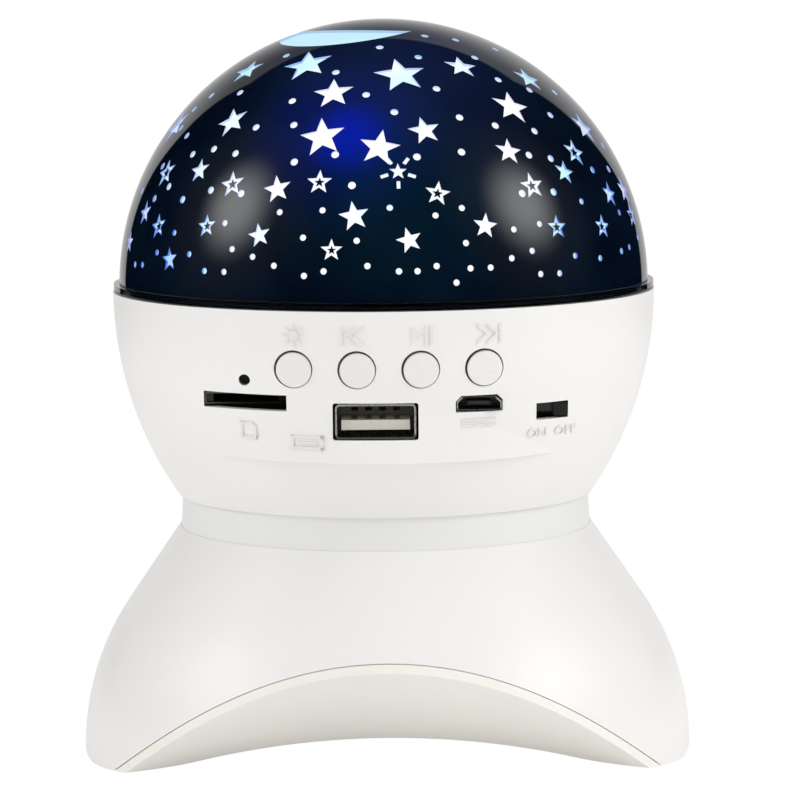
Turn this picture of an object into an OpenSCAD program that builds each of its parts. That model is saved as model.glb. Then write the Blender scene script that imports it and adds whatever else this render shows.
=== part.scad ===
// Star night light projector with a speaker base.
// A turning star dome sits on a round housing, which stands on a flared, arched base.
// Units are millimetres. The origin is the centre of the footprint on the table, +Z is up,
// and the panel with the buttons and sockets faces -Y.

/* [Base] */
// Widest diameter of the base
base_d = 105.4; // [100:0.2:112]
// Height of the line where the base meets the neck ring
base_h = 40; // [38:0.2:44]
// Radius of the round flare of the base, in side view
flare_r = 45; // [40:1:50]
// Lean of the straight cone above the flare, from upright
flare_angle = 34.5; // [31:0.5:36]
// Height at which the base is widest
flare_z = 1.3; // [1.2:0.1:3]
// Wall of the base
base_wall = 2.4; // [2:0.1:3]
// Thickness of the deck on top of the base
deck_t = 2; // [1.6:0.1:3]
// Radius of the rounded edge round the foot of the base
foot_edge = 0.9; // [0.4:0.1:0.9]

/* [Arch] */
// Height of the hollowed underside at its centre
arch_h = 3; // [2.4:0.1:5]
// Radius of the underside from front to back
arch_front_r = 69.8; // [64:0.1:80]
// Radius of the underside from side to side
arch_side_r = 146; // [125:0.5:160]
// Radius of the feet's soles from front to back
sole_r = 260; // [200:10:600]
// Thickness of the bottom cover, seen as a pale lip along the arch
cover_t = 1.5; // [1.2:0.1:2]
// Gap between the base and the lip of the cover
seam = 0.2; // [0.15:0.05:0.4]
// Height by which the rubber pads lift the feet
pad_lift = 0.3; // [0.1:0.1:0.8]
// Thickness of the cover's floor in the feet
foot_floor = 3.2; // [3:0.1:3.8]

/* [Neck] */
// Height of the neck ring
neck_h = 5.7; // [4.7:0.2:8.1]
// How far the base stands out under the neck ring
neck_step = 0.25; // [0.1:0.05:0.6]
// How much the neck ring narrows to its top, on the radius
neck_taper = 0.35; // [0:0.05:0.8]
// How far the housing stands out over the neck ring
neck_overhang = 0.75; // [0.3:0.05:1.2]
// Wall of the neck ring
neck_wall = 2; // [1.6:0.1:2.6]

/* [Housing] */
// Outer diameter of the housing at its rim
rim_d = 93.3; // [92.4:0.1:96]
// Height of the housing's rim
rim_z = 80.8; // [80.2:0.2:86.8]
// Wall of the housing
wall = 2; // [1.6:0.1:2.4]
// Floor of the housing
floor_t = 2.2; // [1.8:0.1:3]
// Height of the ledge below the socket panel
ledge_z = 55.8; // [54:0.2:56.8]
// Half the width of the ledge
ledge_half = 28; // [24:0.5:30]
// Distance of the panel from the axis, at the ledge
panel_front = 44.5; // [43.8:0.1:45.2]

/* [Dome] */
// Outer diameter of the dome
dome_d = 91.2; // [90:0.2:92]
// Wall of the clear dome
dome_t = 1.2; // [1:0.1:1.8]
// Height of the dome's centre over the rim of the housing
dome_rise = 0.7; // [0.5:0.1:2]
// Gap between the housing's rim and the dome's flange
rim_gap = 0.45; // [0.3:0.05:0.8]
// Thickness of the dome's flange
flange_t = 0.9; // [0.7:0.1:1.4]
// How far the flange stands out past the clear dome
flange_out = 0.95; // [0.4:0.05:1.3]
// Thickness of the printed star mask over the clear dome
mask_t = 0.4; // [0.3:0.1:0.8]
// Gap between the star mask and the clear dome
mask_gap = 0.1; // [0.05:0.05:0.3]

/* [Star pattern] */
// Lean of the pattern, so that it faces someone looking slightly down
star_tilt = 5; // [0:1:15]
// Waist of a star as a share of its size
star_waist = 0.42; // [0.36:0.01:0.5]
// Radius of the round star dots
dot_r = 0.6; // [0.4:0.05:0.8]
// Outer radius of the crescent moon
moon_r = 12; // [9:0.5:13]

/* [Buttons] */
// Diameter of the button holes
button_hole_d = 6.3; // [5.6:0.1:7]
// Gap round each button cap
button_gap = 0.25; // [0.15:0.05:0.3]
// Distance from one button to the next
button_pitch = 10.35; // [9.4:0.05:10.8]
// Centre of the button row from the middle of the panel
button_offset = 0.7; // [-1:0.1:1]
// Height of the button row
button_z = 71.3; // [71:0.1:71.8]
// How far each cap hangs to the right and down in its hole
cap_droop = 0.1; // [0:0.02:0.1]
// How far a button goes in
button_travel = 0.5; // [0.3:0.1:0.8]
// How far a cap stands out of the housing
button_proud = 0.25; // [0:0.05:0.5]

/* [Sockets] */
// Centre of the large socket, from the middle
usb_x = -1.5; // [-3:0.1:0]
// Height of the large socket's centre
usb_z = 62.7; // [62.4:0.1:63]
// Outer width of the large socket's steel shell
usb_w = 13.15; // [13:0.05:13.4]
// Outer height of the large socket's steel shell
usb_h = 5.7; // [5.4:0.1:5.8]
// Depth of the large socket
usb_depth = 14; // [12:0.5:16]
// Centre of the charging socket
charge_x = 15.4; // [14.5:0.1:16]
// Outer width of the charging socket
charge_w = 7.3; // [7:0.1:7.6]
// Outer height of the charging socket
charge_h = 2.4; // [2.3:0.1:2.6]
// Centre of the memory card slot
card_x = -22.9; // [-23.5:0.1:-22]
// Width of the memory card slot
card_w = 13.8; // [13:0.1:14]
// Height of the memory card slot
card_h = 2.7; // [2.4:0.05:2.9]
// Radius of the microphone hole
mic_r = 0.95; // [0.6:0.05:1.2]
// Height of the microphone hole
mic_z = 69.2; // [68.9:0.1:69.5]
// Centre of the power switch slot
switch_x = 27.6; // [27:0.1:28]
// Height of the power switch slot
switch_z = 63.2; // [63:0.1:63.4]
// Width of the power switch slot
switch_w = 5.4; // [5:0.1:6]
// Height of the power switch slot
switch_h = 2.9; // [2.6:0.1:3.1]
// Gap between a socket and its cut-out
socket_gap = 0.2; // [0.1:0.05:0.3]

/* [Circuit board] */
// Height of the board's underside
board_z = 66.5; // [66.4:0.1:66.7]
// Thickness of the board
board_t = 1; // [0.8:0.1:1.2]
// Gap between the board's round front edge and the housing
board_gap = 0.5; // [0.3:0.1:1.5]
// Half the width of the board
board_half = 31; // [30:0.1:31.2]
// Distance of the board's straight back edge from the axis
board_back = 5; // [4:0.5:8]

/* [Turntable drive] */
// Thickness of the plate that carries the dome and the board
plate_t = 1.6; // [1.4:0.1:2]
// Distance of the plate's top below the rim
plate_drop = 3.9; // [3.8:0.1:4.1]
// Size of the gear teeth, as pitch diameter over number of teeth
gear_module = 1; // [0.95:0.05:1]
// Teeth of the drive ring
ring_teeth = 72; // [66:6:72]
// Teeth of the motor pinion
pinion_teeth = 12; // [12:1:14]
// Play between the teeth, on each flank
gear_play = 0.12; // [0.08:0.02:0.2]
// Height of the teeth
gear_h = 3.2; // [2.4:0.1:3.4]
// Radius of the motor
motor_r = 7.5; // [6.5:0.5:8]
// Length of the motor with its gearbox
motor_len = 18; // [15:0.5:19]
// Radius of the motor shaft
shaft_r = 1.5; // [1.2:0.1:1.7]
// Radius of the lamp board
lamp_board_r = 11; // [9:0.5:14]
// Radius of each lamp
lamp_r = 1.5; // [1.2:0.1:2]
// Distance of the lamps from the axis
lamp_pitch = 4.6; // [3.4:0.1:6]

/* [Battery] */
// Radius of the battery cell
cell_r = 9.1; // [8.8:0.1:9.2]
// Length of the battery cell
cell_len = 65; // [60:0.5:65.5]
// Distance of the cell behind the axis
cell_y = 7; // [6:0.5:8]

/* [Speaker] */
// Radius of the speaker's rim
speaker_r = 19.8; // [18.5:0.1:20.4]
// Height of the speaker's rim over the table
speaker_z = 9.8; // [9.4:0.1:10.6]
// Depth of the speaker's basket
basket_h = 8; // [7:0.5:9]
// Radius of the magnet
magnet_r = 11; // [10:0.5:13]
// Height of the magnet
magnet_h = 7; // [6:0.5:8]
// How far the cone moves each way
cone_travel = 0.8; // [0.4:0.1:1]
// Radius of the sound hole pattern
grille_r = 11; // [8:0.5:13]
// Radius of each sound hole
grille_hole_r = 0.9; // [0.6:0.1:1.1]
// Distance from one sound hole to the next
grille_pitch = 3.4; // [3:0.1:4]

/* [Fasteners] */
// Radius of the screw shanks
screw_r = 1; // [0.8:0.05:1.1]
// Radius of the screw heads
head_r = 2.1; // [1.8:0.1:2.4]
// Height of the screw heads
head_h = 1.2; // [1:0.1:1.4]
// Wall of the bosses round the screws
boss_wall = 2; // [1.6:0.1:2.2]
// Radius of the rubber pads
pad_r = 3; // [2.7:0.1:3.4]
// Thickness of the rubber pads
pad_t = 1.2; // [1:0.1:1.4]

/* [Hidden] */
$fn = 96;

eps = 0.01;
far = 200;

// Clearances: screw in its hole, faces that touch, turning parts, moving parts
screw_play = 0.05;
face_gap = 0.1;
turn_gap = 0.15;
move_gap = 0.3;

// Colours
white = [0.92, 0.92, 0.9];
cream = [0.93, 0.91, 0.86];
navy = [0.01, 0.02, 0.08];
black = [0.06, 0.06, 0.07];
steel = [0.72, 0.72, 0.74];
brass = [0.8, 0.62, 0.3];
board_green = [0.07, 0.3, 0.17];

// Base, arch and feet
base_r = base_d / 2;
foot_z = pad_lift;
flare_x = base_r - flare_r;
base_top_r = flare_cone_r(0, base_h);
arch_axis_z = arch_h + arch_front_r;
pad_inset = 1.6;
pad_x = base_r - base_wall - move_gap - pad_r - pad_inset;
pad_y = 9;
pad_at = [for (sx = [-1, 1], sy = [-1, 1]) [sx * pad_x, sy * pad_y]];
foot_screw_z = pad_t + face_gap + head_h;
foot_screw_len = 8;
foot_boss_z = foot_z + foot_floor + face_gap;
foot_boss_h = 19;
deck_hole_r = 12;

// Neck
neck_foot_r = base_top_r - neck_step;
neck_top_r = neck_foot_r - neck_taper;
neck_z = base_h + neck_h;
neck_flange_t = 2;
neck_flange_w = 10;
neck_screw_ring = 28;
neck_screw_turn = 45;
neck_thread = 4;

// Housing
rim_r = rim_d / 2;
bowl_foot_r = neck_top_r + neck_overhang;
bowl_rise = rim_z - neck_z;
bowl_in = rim_r - bowl_foot_r;
bowl_r = (bowl_rise * bowl_rise + bowl_in * bowl_in) / (2 * bowl_in);
floor_top = neck_z + floor_t;
floor_hole_r = 9;
boss_r = screw_r + boss_wall;
rib_t = 1.6;

// Socket panel: an upright cylinder that fades into the bowl above the ledge
ledge_r = bowl_radius(ledge_z, 0);
ledge_y = sqrt(ledge_r * ledge_r - ledge_half * ledge_half);
panel_y = (panel_front * panel_front - ledge_r * ledge_r) / (2 * (panel_front - ledge_y));
panel_r = panel_front - panel_y;
panel_fade_z = rim_z - sqrt(pow(bowl_r, 2) - pow(panel_front - rim_r + bowl_r, 2));
panel_top = panel_fade_z + 2 * wall;

// Turntable drive
plate_z = rim_z - plate_drop;
motor_top = plate_z - plate_t;
plate_r = bowl_radius(motor_top, wall) - move_gap;
boss_ring = plate_r - boss_r - 2;
boss_turns = [28, 152, 208, 332];
boss_h = 12;
plate_screw_len = plate_t + 6;
rail_h = 0.45;
gear_z = plate_z + rail_h + turn_gap;
gear_top = gear_z + gear_h;
ring_pitch_r = gear_module * ring_teeth / 2;
ring_root_r = ring_pitch_r + 1.25 * gear_module;
pinion_pitch_r = gear_module * pinion_teeth / 2;
gear_centre = ring_pitch_r - pinion_pitch_r;
hook_t = 1;
hook_w = 6;
hook_wall = 1.6;
hook_out = ring_pitch_r + 0.2;
hook_in = ring_pitch_r - gear_module - 0.6 - hook_wall;

// Dome
dome_r = dome_d / 2;
dome_z = rim_z + dome_rise;
flange_z = rim_z + rim_gap;
flange_top = flange_z + flange_t;
skirt_t = 1.5;
skirt_gap = 1.6;
skirt_out = bowl_radius(rim_z, wall) - skirt_gap;
skirt_in = skirt_out - skirt_t;
ring_out = skirt_in - turn_gap;
flange_r = max(dome_r, skirt_out) + flange_out;
lens_r = dome_r - mask_t - mask_gap;
flange_in = min(skirt_in, lens_r - dome_t - 1);

// Motor and lamps
gearbox_h = 8;
shaft_in = 6;
shaft_hole_r = 3.5;
pedestal_r = 6.5;
pedestal_wall = 2;
pedestal_z = plate_z + 3;
lamp_board_t = 1.2;
lamp_z = pedestal_z + lamp_board_t;

// Circuit board and its posts under the plate
board_top = board_z + board_t;
board_r = bowl_radius(board_z, wall) - board_gap;
board_posts = [[-24, -13], [24, -13], [5.6, -10]];
board_screw_len = board_t + 5;
chip_h = 1.4;
chips = [[-10, -17, 8, 6], [10, -20, 5, 5], [-17, -9, 5, 4], [15, -9, 4, 3]];

// Large socket
socket_inset = 0.5;
usb_front = panel_front - socket_inset;
usb_wall = 0.3;
usb_in_w = usb_w - 2 * usb_wall;
usb_in_h = usb_h - 2 * usb_wall;
usb_back = 5;
usb_tongue_t = 1.6;
usb_side_gap = 0.6;
usb_tip = 1.2;
usb_under = 1 + face_gap - usb_in_h / 2;
contact_pitch = 2.3;

// Charging socket, which hangs under the board
charge_z = board_z - charge_h / 2;
charge_front = -face_y(charge_x, charge_z, 0) - socket_inset;
charge_depth = 5.6;
charge_back = 1.6;
charge_corner = 0.38;
sheet_t = 0.2;

// Memory card socket, which hangs under the board
card_shell_w = card_w - 2 * socket_gap;
card_shell_h = card_h - 4 * socket_gap;
card_z = board_z - card_shell_h / 2;
card_front_y = face_y(abs(card_x) + card_w / 2, card_z - card_h / 2, 0) + move_gap;
card_depth = 14.5;
card_rail = 1;

// Microphone
mic_body_r = 1.5;
mic_len = 2;

// Buttons
button_x = [for (i = [0:3]) button_offset + (i - 1.5) * button_pitch];
cap_r = button_hole_d / 2 - button_gap;
cap_flange_r = cap_r + 0.45;
cap_flange_t = 0.8;
stem_r = 1.2;
stem_len = 2.4;
case_w = 4.6;
case_depth = 3.6;
case_over = 1.9;

// Power switch
switch_case_w = 8.6;
switch_case_d = 3.6;
switch_low = switch_z - 1.7;
switch_front_y = face_y(switch_x + switch_case_w / 2, switch_low, wall) + move_gap;
knob_w = 2.2;
knob_h = switch_h - 2 * socket_gap - 0.3;
knob_sink = 0.9;
knob_in = 1.8;
knob_x = switch_x + switch_w / 2 - socket_gap - knob_w / 2;

// Battery
tray_wall = 1.2;
tray_h = 6;
tray_half = 22;
cell_z = floor_top + tray_wall + cell_r;

// Speaker
speaker_rim_t = 1.2;
speaker_rim_z = speaker_z + speaker_rim_t;
basket_top = speaker_rim_z + basket_h;
basket_side = 1.6;
coil_r = 6.3;
coil_t = 0.5;
coil_gap = 0.3;
throat_r = coil_r + coil_t + coil_gap;
cone_r = speaker_r - 4.4;
cone_t = 0.6;
roll_r = 0.85;
roll_t = 0.4;
roll_at = cone_r + roll_r + 0.15;
seat_w = 3.2;

// Radius of the base's straight cone at a height, set in by inset
function flare_cone_r(inset, z) =
    flare_x + (flare_r - inset) * cos(flare_angle)
    - tan(flare_angle) * (z - flare_z - (flare_r - inset) * sin(flare_angle));

// Radius of the bowl-shaped housing at a height, set in by inset
function bowl_radius(z, inset) =
    rim_r - bowl_r + sqrt(pow(bowl_r - inset, 2) - pow(rim_z - z, 2));

// Y of the bowl's front face, set in by inset, straight ahead of x at height z
function face_y(x, z, inset) = -sqrt(pow(bowl_radius(z, inset), 2) - x * x);

// Y of a plane just behind the housing's wall, clear of it over a disc of radius r round x, z
function behind_wall(x, z, r) =
    max([for (a = [0:15:90]) face_y(abs(x) + r * sin(a), z - r * cos(a), wall)]) + move_gap;

// Places its children with their Z axis pointing out of the front panel
module facing(x, y, z) {
    translate([x, y, z]) rotate([90, 0, 0]) children();
}

module rounded_rect(w, h, r) {
    square([w - 2 * r, h], center = true);
    square([w, h - 2 * r], center = true);
    for (sx = [-1, 1], sy = [-1, 1])
        translate([sx * (w / 2 - r), sy * (h / 2 - r)]) circle(r);
}

module ring(r_out, r_in, h) {
    difference() {
        cylinder(r = r_out, h = h);
        translate([0, 0, -1]) cylinder(r = r_in, h = h + 2);
    }
}

module ring_of(count, r, turn = 0) {
    for (i = [0:count - 1])
        rotate([0, 0, turn + i * 360 / count]) translate([r, 0, 0]) children();
}

module at_each(places, z) {
    for (p = places) translate([p.x, p.y, z]) children();
}

module at_plate_screws(z) {
    for (turn = boss_turns) rotate([0, 0, turn]) translate([boss_ring, 0, z]) children();
}

// Pan-head screw with its shank up and the underside of its head at z = 0
module screw(length) {
    translate([0, 0, -head_h]) cylinder(r = head_r, h = head_h);
    cylinder(r = screw_r, h = length);
}

// Countersunk screw with its shank down and the top of its head at z = 0
module sunk_screw(length, gap = 0) {
    translate([0, 0, -head_h]) cylinder(r1 = screw_r + gap, r2 = head_r + gap, h = head_h);
    translate([0, 0, -length]) cylinder(r = screw_r + gap, h = length);
}

// ---- Base: flared shell, saddle-shaped bottom cover and feet ----

// Half outline of the base, set in by inset, with its lower edge rounded by edge
module base_outline(inset, low, high, edge) {
    tangent_z = flare_z + (flare_r - inset) * sin(flare_angle);
    tangent_r = flare_cone_r(inset, tangent_z);
    high_r = flare_cone_r(inset, high);
    side_r = base_r - inset;
    translate([0, low]) square([high_r, high - low]);
    polygon([[0, tangent_z - 1], [tangent_r, tangent_z], [high_r, high], [0, high]]);
    intersection() {
        translate([flare_x, flare_z]) circle(flare_r - inset);
        translate([0, flare_z]) square([side_r, tangent_z - flare_z]);
    }
    translate([0, low + edge]) square([side_r, flare_z - low - edge]);
    translate([0, low]) square([side_r - edge, edge + eps]);
    if (edge > 0)
        translate([side_r - edge, low + edge]) circle(edge);
}

module base_form() {
    intersection() {
        rotate_extrude() base_outline(0, foot_z, base_h, foot_edge);
        translate([0, 0, foot_z + sole_r]) rotate([0, 90, 0]) cylinder(r = sole_r, h = far, center = true, $fn = 256);
    }
}

module base_hollow(gap) {
    rotate_extrude() base_outline(base_wall + gap, foot_z - 2, base_h - deck_t, 0);
}

// Everything above the saddle of the underside, raised by lift
module above_saddle(lift) {
    translate([0, 0, arch_axis_z]) rotate([0, 90, 0]) rotate_extrude() difference() {
        translate([0, -far / 2]) square(far);
        translate([arch_front_r + arch_side_r, 0]) circle(arch_side_r + lift);
    }
}

module neck_screw_holes(r, h) {
    ring_of(4, neck_screw_ring, neck_screw_turn) cylinder(r = r, h = h);
}

module base_shell() color(white) {
    difference() {
        union() {
            intersection() {
                difference() {
                    base_form();
                    base_hollow(0);
                }
                above_saddle(cover_t + seam);
            }
            intersection() {
                at_each(pad_at, foot_boss_z) cylinder(r = boss_r, h = foot_boss_h);
                base_form();
            }
        }
        at_each(pad_at, foot_boss_z - 1) cylinder(r = screw_r + screw_play, h = foot_screw_len + 1);
        translate([0, 0, base_h - deck_t - 1]) {
            cylinder(r = deck_hole_r, h = deck_t + 2);
            neck_screw_holes(screw_r + move_gap, deck_t + 2);
        }
    }
}

module sound_holes() {
    row = grille_pitch * sin(60);
    count = ceil(grille_r / row);
    for (j = [-count:count], i = [-count:count]) {
        x = (i + (j % 2 == 0 ? 0 : 0.5)) * grille_pitch;
        if (norm([x, j * row]) < grille_r - grille_hole_r)
            translate([x, j * row, 0]) cylinder(r = grille_hole_r, h = speaker_z);
    }
}

module bottom_cover() color(cream) {
    difference() {
        union() {
            difference() {
                intersection() {
                    base_form();
                    above_saddle(0);
                }
                intersection() {
                    above_saddle(cover_t);
                    translate([0, 0, foot_z + foot_floor]) cylinder(r = far, h = far);
                }
                difference() {
                    above_saddle(cover_t);
                    base_hollow(move_gap);
                }
            }
            intersection() {
                ring(speaker_r, speaker_r - seat_w, speaker_z - face_gap);
                above_saddle(cover_t / 2);
            }
        }
        sound_holes();
        at_each(pad_at, 0) {
            cylinder(r = screw_r + move_gap, h = foot_z + foot_floor + 1);
            cylinder(r = head_r + move_gap, h = foot_screw_z);
            cylinder(r = pad_r + face_gap, h = pad_t + face_gap);
        }
    }
}

module foot_pads() color(black) {
    at_each(pad_at, 0) cylinder(r = pad_r, h = pad_t);
}

module foot_screws() color(steel) {
    at_each(pad_at, foot_screw_z) screw(foot_screw_len);
}

// ---- Neck ring and its screws ----

module neck_ring() color(white) {
    inner_r = neck_foot_r - neck_wall;
    difference() {
        union() {
            rotate_extrude() polygon([
                [inner_r, base_h],
                [neck_foot_r, base_h],
                [neck_top_r, neck_z],
                [neck_top_r - neck_wall, neck_z]
            ]);
            translate([0, 0, base_h]) ring(inner_r + neck_wall / 2, inner_r - neck_flange_w, neck_flange_t);
        }
        translate([0, 0, base_h - 1]) neck_screw_holes(screw_r + move_gap, neck_flange_t + 2);
    }
}

module neck_screws() color(steel) {
    translate([0, 0, base_h - deck_t])
        ring_of(4, neck_screw_ring, neck_screw_turn) screw(deck_t + neck_flange_t + neck_thread);
}

// ---- Upper housing with the socket panel ----

// Half outline of the bowl, set in by inset, from one height to another
module bowl_outline(inset, low, high) {
    intersection() {
        translate([rim_r - bowl_r, rim_z]) circle(bowl_r - inset, $fn = 256);
        translate([0, low]) square([rim_r, high - low]);
    }
}

module housing_form() {
    rotate_extrude() bowl_outline(0, neck_z, rim_z);
    translate([0, -panel_y, ledge_z]) cylinder(r = panel_r, h = panel_top - ledge_z);
}

module housing_hollow() {
    rotate_extrude() bowl_outline(wall, floor_top, rim_z + 1);
    translate([0, -panel_y, ledge_z + wall]) cylinder(r = panel_r - wall, h = panel_top - ledge_z - 2 * wall);
}

// Outline of the charging socket: a flat box with its two upper corners cut off
module charge_outline(gap) {
    w = charge_w / 2 + gap;
    h = charge_h / 2 + gap;
    corner = charge_h * charge_corner;
    polygon([[-w, -h], [w, -h], [w, h - corner], [w - corner, h], [corner - w, h], [-w, h - corner]]);
}

// Flat shape cut forwards at x, z, from 1 mm behind the wall at the corner half_w, half_h away
module through_wall(x, z, half_w, half_h) {
    facing(x, face_y(abs(x) + half_w, z - half_h, wall) + 1, z) linear_extrude(far) children();
}

module panel_cuts() {
    hole_r = button_hole_d / 2;
    for (x = button_x) through_wall(x, button_z, hole_r, hole_r) circle(hole_r);
    through_wall(card_x, mic_z, mic_r, mic_r) circle(mic_r);
    through_wall(usb_x, usb_z, usb_w / 2, usb_h / 2)
        rounded_rect(usb_w + 4 * socket_gap, usb_h + 2 * socket_gap, 0.4);
    through_wall(charge_x, charge_z, charge_w / 2, charge_h / 2) charge_outline(socket_gap);
    through_wall(card_x, card_z, card_w / 2, card_h / 2) square([card_w, card_h], center = true);
    through_wall(switch_x, switch_z, switch_w / 2, switch_h / 2) square([switch_w, switch_h], center = true);
}

module upper_housing() color(white) {
    difference() {
        union() {
            difference() {
                housing_form();
                housing_hollow();
            }
            intersection() {
                at_plate_screws(motor_top - boss_h) {
                    cylinder(r = boss_r, h = boss_h - face_gap);
                    translate([0, -rib_t / 2, 0]) cube([boss_r + 2 * wall, rib_t, boss_h - 1]);
                }
                housing_form();
            }
            translate([0, 0, base_h + neck_flange_t + face_gap])
                neck_screw_holes(boss_r, neck_h);
        }
        at_plate_screws(motor_top + 1 - boss_h) cylinder(r = screw_r + screw_play, h = boss_h);
        translate([0, 0, base_h]) neck_screw_holes(screw_r + screw_play, neck_flange_t + neck_thread + 0.6);
        translate([0, 0, neck_z - 1]) cylinder(r = floor_hole_r, h = floor_t + 2);
        panel_cuts();
    }
}

// ---- Dome: clear shell and printed star mask ----

module dome_lens() color([0.75, 0.8, 0.9, 0.35]) {
    difference() {
        union() {
            intersection() {
                translate([0, 0, dome_z]) sphere(lens_r);
                translate([0, 0, flange_z]) cylinder(r = far, h = far);
            }
            translate([0, 0, flange_z]) cylinder(r = flange_r, h = flange_t);
            translate([0, 0, gear_z]) cylinder(r = skirt_out, h = flange_z - gear_z + eps);
        }
        intersection() {
            translate([0, 0, dome_z]) sphere(lens_r - dome_t);
            translate([0, 0, flange_top]) cylinder(r = far, h = far);
        }
        translate([0, 0, gear_z - 1]) cylinder(r = skirt_in, h = flange_z - gear_z + 1);
        translate([0, 0, flange_z - eps]) cylinder(r = flange_in, h = flange_t + 1);
    }
}

// Five-pointed star with slightly blunt tips, size from its centre to a tip
module star(size) {
    blunt = 3;
    tip_r = size * 0.96;
    polygon([for (i = [0:4], k = [-1:1])
        let (turn = i * 72 + (k == 1 ? 36 : k == 0 ? blunt : -blunt),
            r = k == 1 ? size * star_waist : tip_r)
        r * [sin(turn), cos(turn)]]);
}

// The star layout is drawn flat, in millimetres, on a dome of this radius seen from the front
layout_r = 45.6;

// Puts a flat shape on the dome where the layout has it u to the right of and v above the
// centre, with its own Y axis pointing up the dome
module on_dome(u, v) {
    across = sqrt(layout_r * layout_r - v * v);
    rotate([0, 0, asin(u / across)]) rotate([90 - asin(v / layout_r), 0, 0])
        translate([0, 0, dome_r - mask_t - 1]) linear_extrude(mask_t + 2) children();
}

// Stars as [right, up, size, turn]
full_stars = [
    [-13, 37.5, 4.2, 20], [3, 35, 4.3, 8], [-23, 36, 3, 20], [13, 37, 2.8, -10], [24.5, 35, 2.8, -20],
    [-8, 31.5, 3, 8], [21, 30, 3.2, -15], [-33.5, 27, 3, 30], [-25.5, 27.5, 2.8, 25], [-10, 24, 3.5, 10],
    [6.5, 25, 2.4, 10], [34, 26.5, 2.6, -20], [-0.5, 22, 3.2, -10], [21, 22, 2, -10], [-31.5, 19, 1.8, 10],
    [-17.5, 15, 2.2, 12], [30.5, 19, 1.8, -15], [38.5, 15, 2, -10], [-5, 11, 2.3, 10], [-41, 12, 1.8, 10],
    [-20.5, 8, 1.9, 12], [4, 7, 2, 15], [17, 9.5, 1.9, -8], [-36.5, 4.5, 1.8, 5], [-43, 7, 1.6, 0],
    [40.5, 16, 2.2, -10]
];
// Stars that carry a smaller printed star inside them
outline_stars = [
    [-37.5, 19, 2.2, 15], [-25, 16.5, 2, 10], [-10.5, 16.5, 1.9, 0], [25, 16, 2, 5], [32.5, 22, 2.2, -15],
    [9, 14.5, 1.9, -10], [-38.5, 10, 1.8, 10], [-29.5, 9.5, 1.6, 5], [-8.5, 5.5, 1.7, 0], [29, 9.5, 1.7, 0],
    [37.5, 9.5, 1.8, -5], [42, 11.5, 1.7, 0]
];
// The star with five short rays between its points
sparkle = [2.5, 18];
// Dots as [right, up]
dots = [
    [-17, 39], [-8, 36], [-1, 41], [6, 39], [7, 43], [12, 42], [16, 39], [-15, 30.5], [-3, 31.5],
    [9, 32.5], [20, 35], [2, 28.5], [12.5, 27.5], [-15, 26.5], [-21.5, 26.5], [19, 26.5], [25.5, 26],
    [-29, 23], [-33, 22], [-25, 22], [-14.5, 20], [-8, 21.5], [5.5, 20.5], [13, 21.5], [24.5, 21.5],
    [28, 21], [-5, 16], [-17.5, 11.5], [-10, 12], [1, 12.5], [8.5, 11], [13, 12.5], [-27, 10],
    [26.5, 10], [22, 9], [-13.5, 7.5], [-4.5, 7], [13.5, 6.5], [-25.5, 5.5], [-22, 4.5], [-18, 3],
    [-13, 1], [-10, 2], [-2.5, 3], [2.5, 2], [5.5, 2], [8.5, 3], [14.5, 2.5], [18, 2.5], [26.5, 1.5],
    [30, 1.5], [-30, 2], [-27, 2], [12, 0], [-23.5, 15], [23, 14.5], [28.5, 14.5], [-33, 14], [33, 13],
    [37, 4], [-40, 3], [33, 4.5]
];

module star_windows() {
    for (s = concat(full_stars, outline_stars)) on_dome(s[0], s[1]) rotate(s[3]) star(s[2]);
    for (d = dots) on_dome(d.x, d.y) circle(dot_r);
    on_dome(sparkle.x, sparkle.y) {
        star(1.4);
        for (i = [0:4]) rotate(36 + i * 72) translate([0, 2.3]) square([0.5, 1.2], center = true);
    }
}

// Crescent near the top of the dome, with its horns to the right and to the back
module moon_window() {
    low = dome_r * 0.8;
    translate([-moon_r / 2, moon_r / 3, low]) linear_extrude(dome_r - low + 1) difference() {
        circle(moon_r);
        translate([2.5, 4]) circle(moon_r - 1);
    }
}

module star_mask() color(navy) {
    translate([0, 0, dome_z]) difference() {
        sphere(dome_r);
        sphere(dome_r - mask_t);
        translate([0, 0, -far + flange_top + face_gap - dome_z]) cylinder(r = far, h = far);
        for (turn = [0, 180]) rotate([0, 0, turn]) rotate([-star_tilt, 0, 0]) star_windows();
        rotate([-star_tilt, 0, 0]) moon_window();
    }
}

// ---- Turntable: plate, drive ring, motor and pinion ----

// Angle in degrees between the centre line of a tooth and its flank at radius r
function flank_turn(r, pitch_r, teeth, play) =
    90 / teeth - play / pitch_r * 180 / PI
    + involute(pitch_r, pitch_r) - involute(max(r, pitch_r * cos(20)), pitch_r);
function involute(r, pitch_r) =
    let (a = acos(min(1, pitch_r * cos(20) / r))) tan(a) * 180 / PI - a;

// Outline of a gear whose flanks pass through the radii in steps, from root to tip
module gear_outline(teeth, pitch_r, steps, play) {
    last = len(steps) - 1;
    polygon([for (i = [0:teeth - 1], side = [-1, 1], k = [0:last])
        let (r = steps[side < 0 ? k : last - k],
            a = i * 360 / teeth + side * flank_turn(r, pitch_r, teeth, play))
        [r * cos(a), r * sin(a)]]);
}

// Inner gear glued into the dome's skirt
module drive_ring() color(white) {
    steps = [ring_pitch_r - gear_module, ring_pitch_r, ring_root_r];
    translate([0, 0, gear_z]) linear_extrude(gear_h) difference() {
        circle(ring_out);
        gear_outline(ring_teeth, ring_pitch_r, steps, -gear_play);
    }
}

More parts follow.
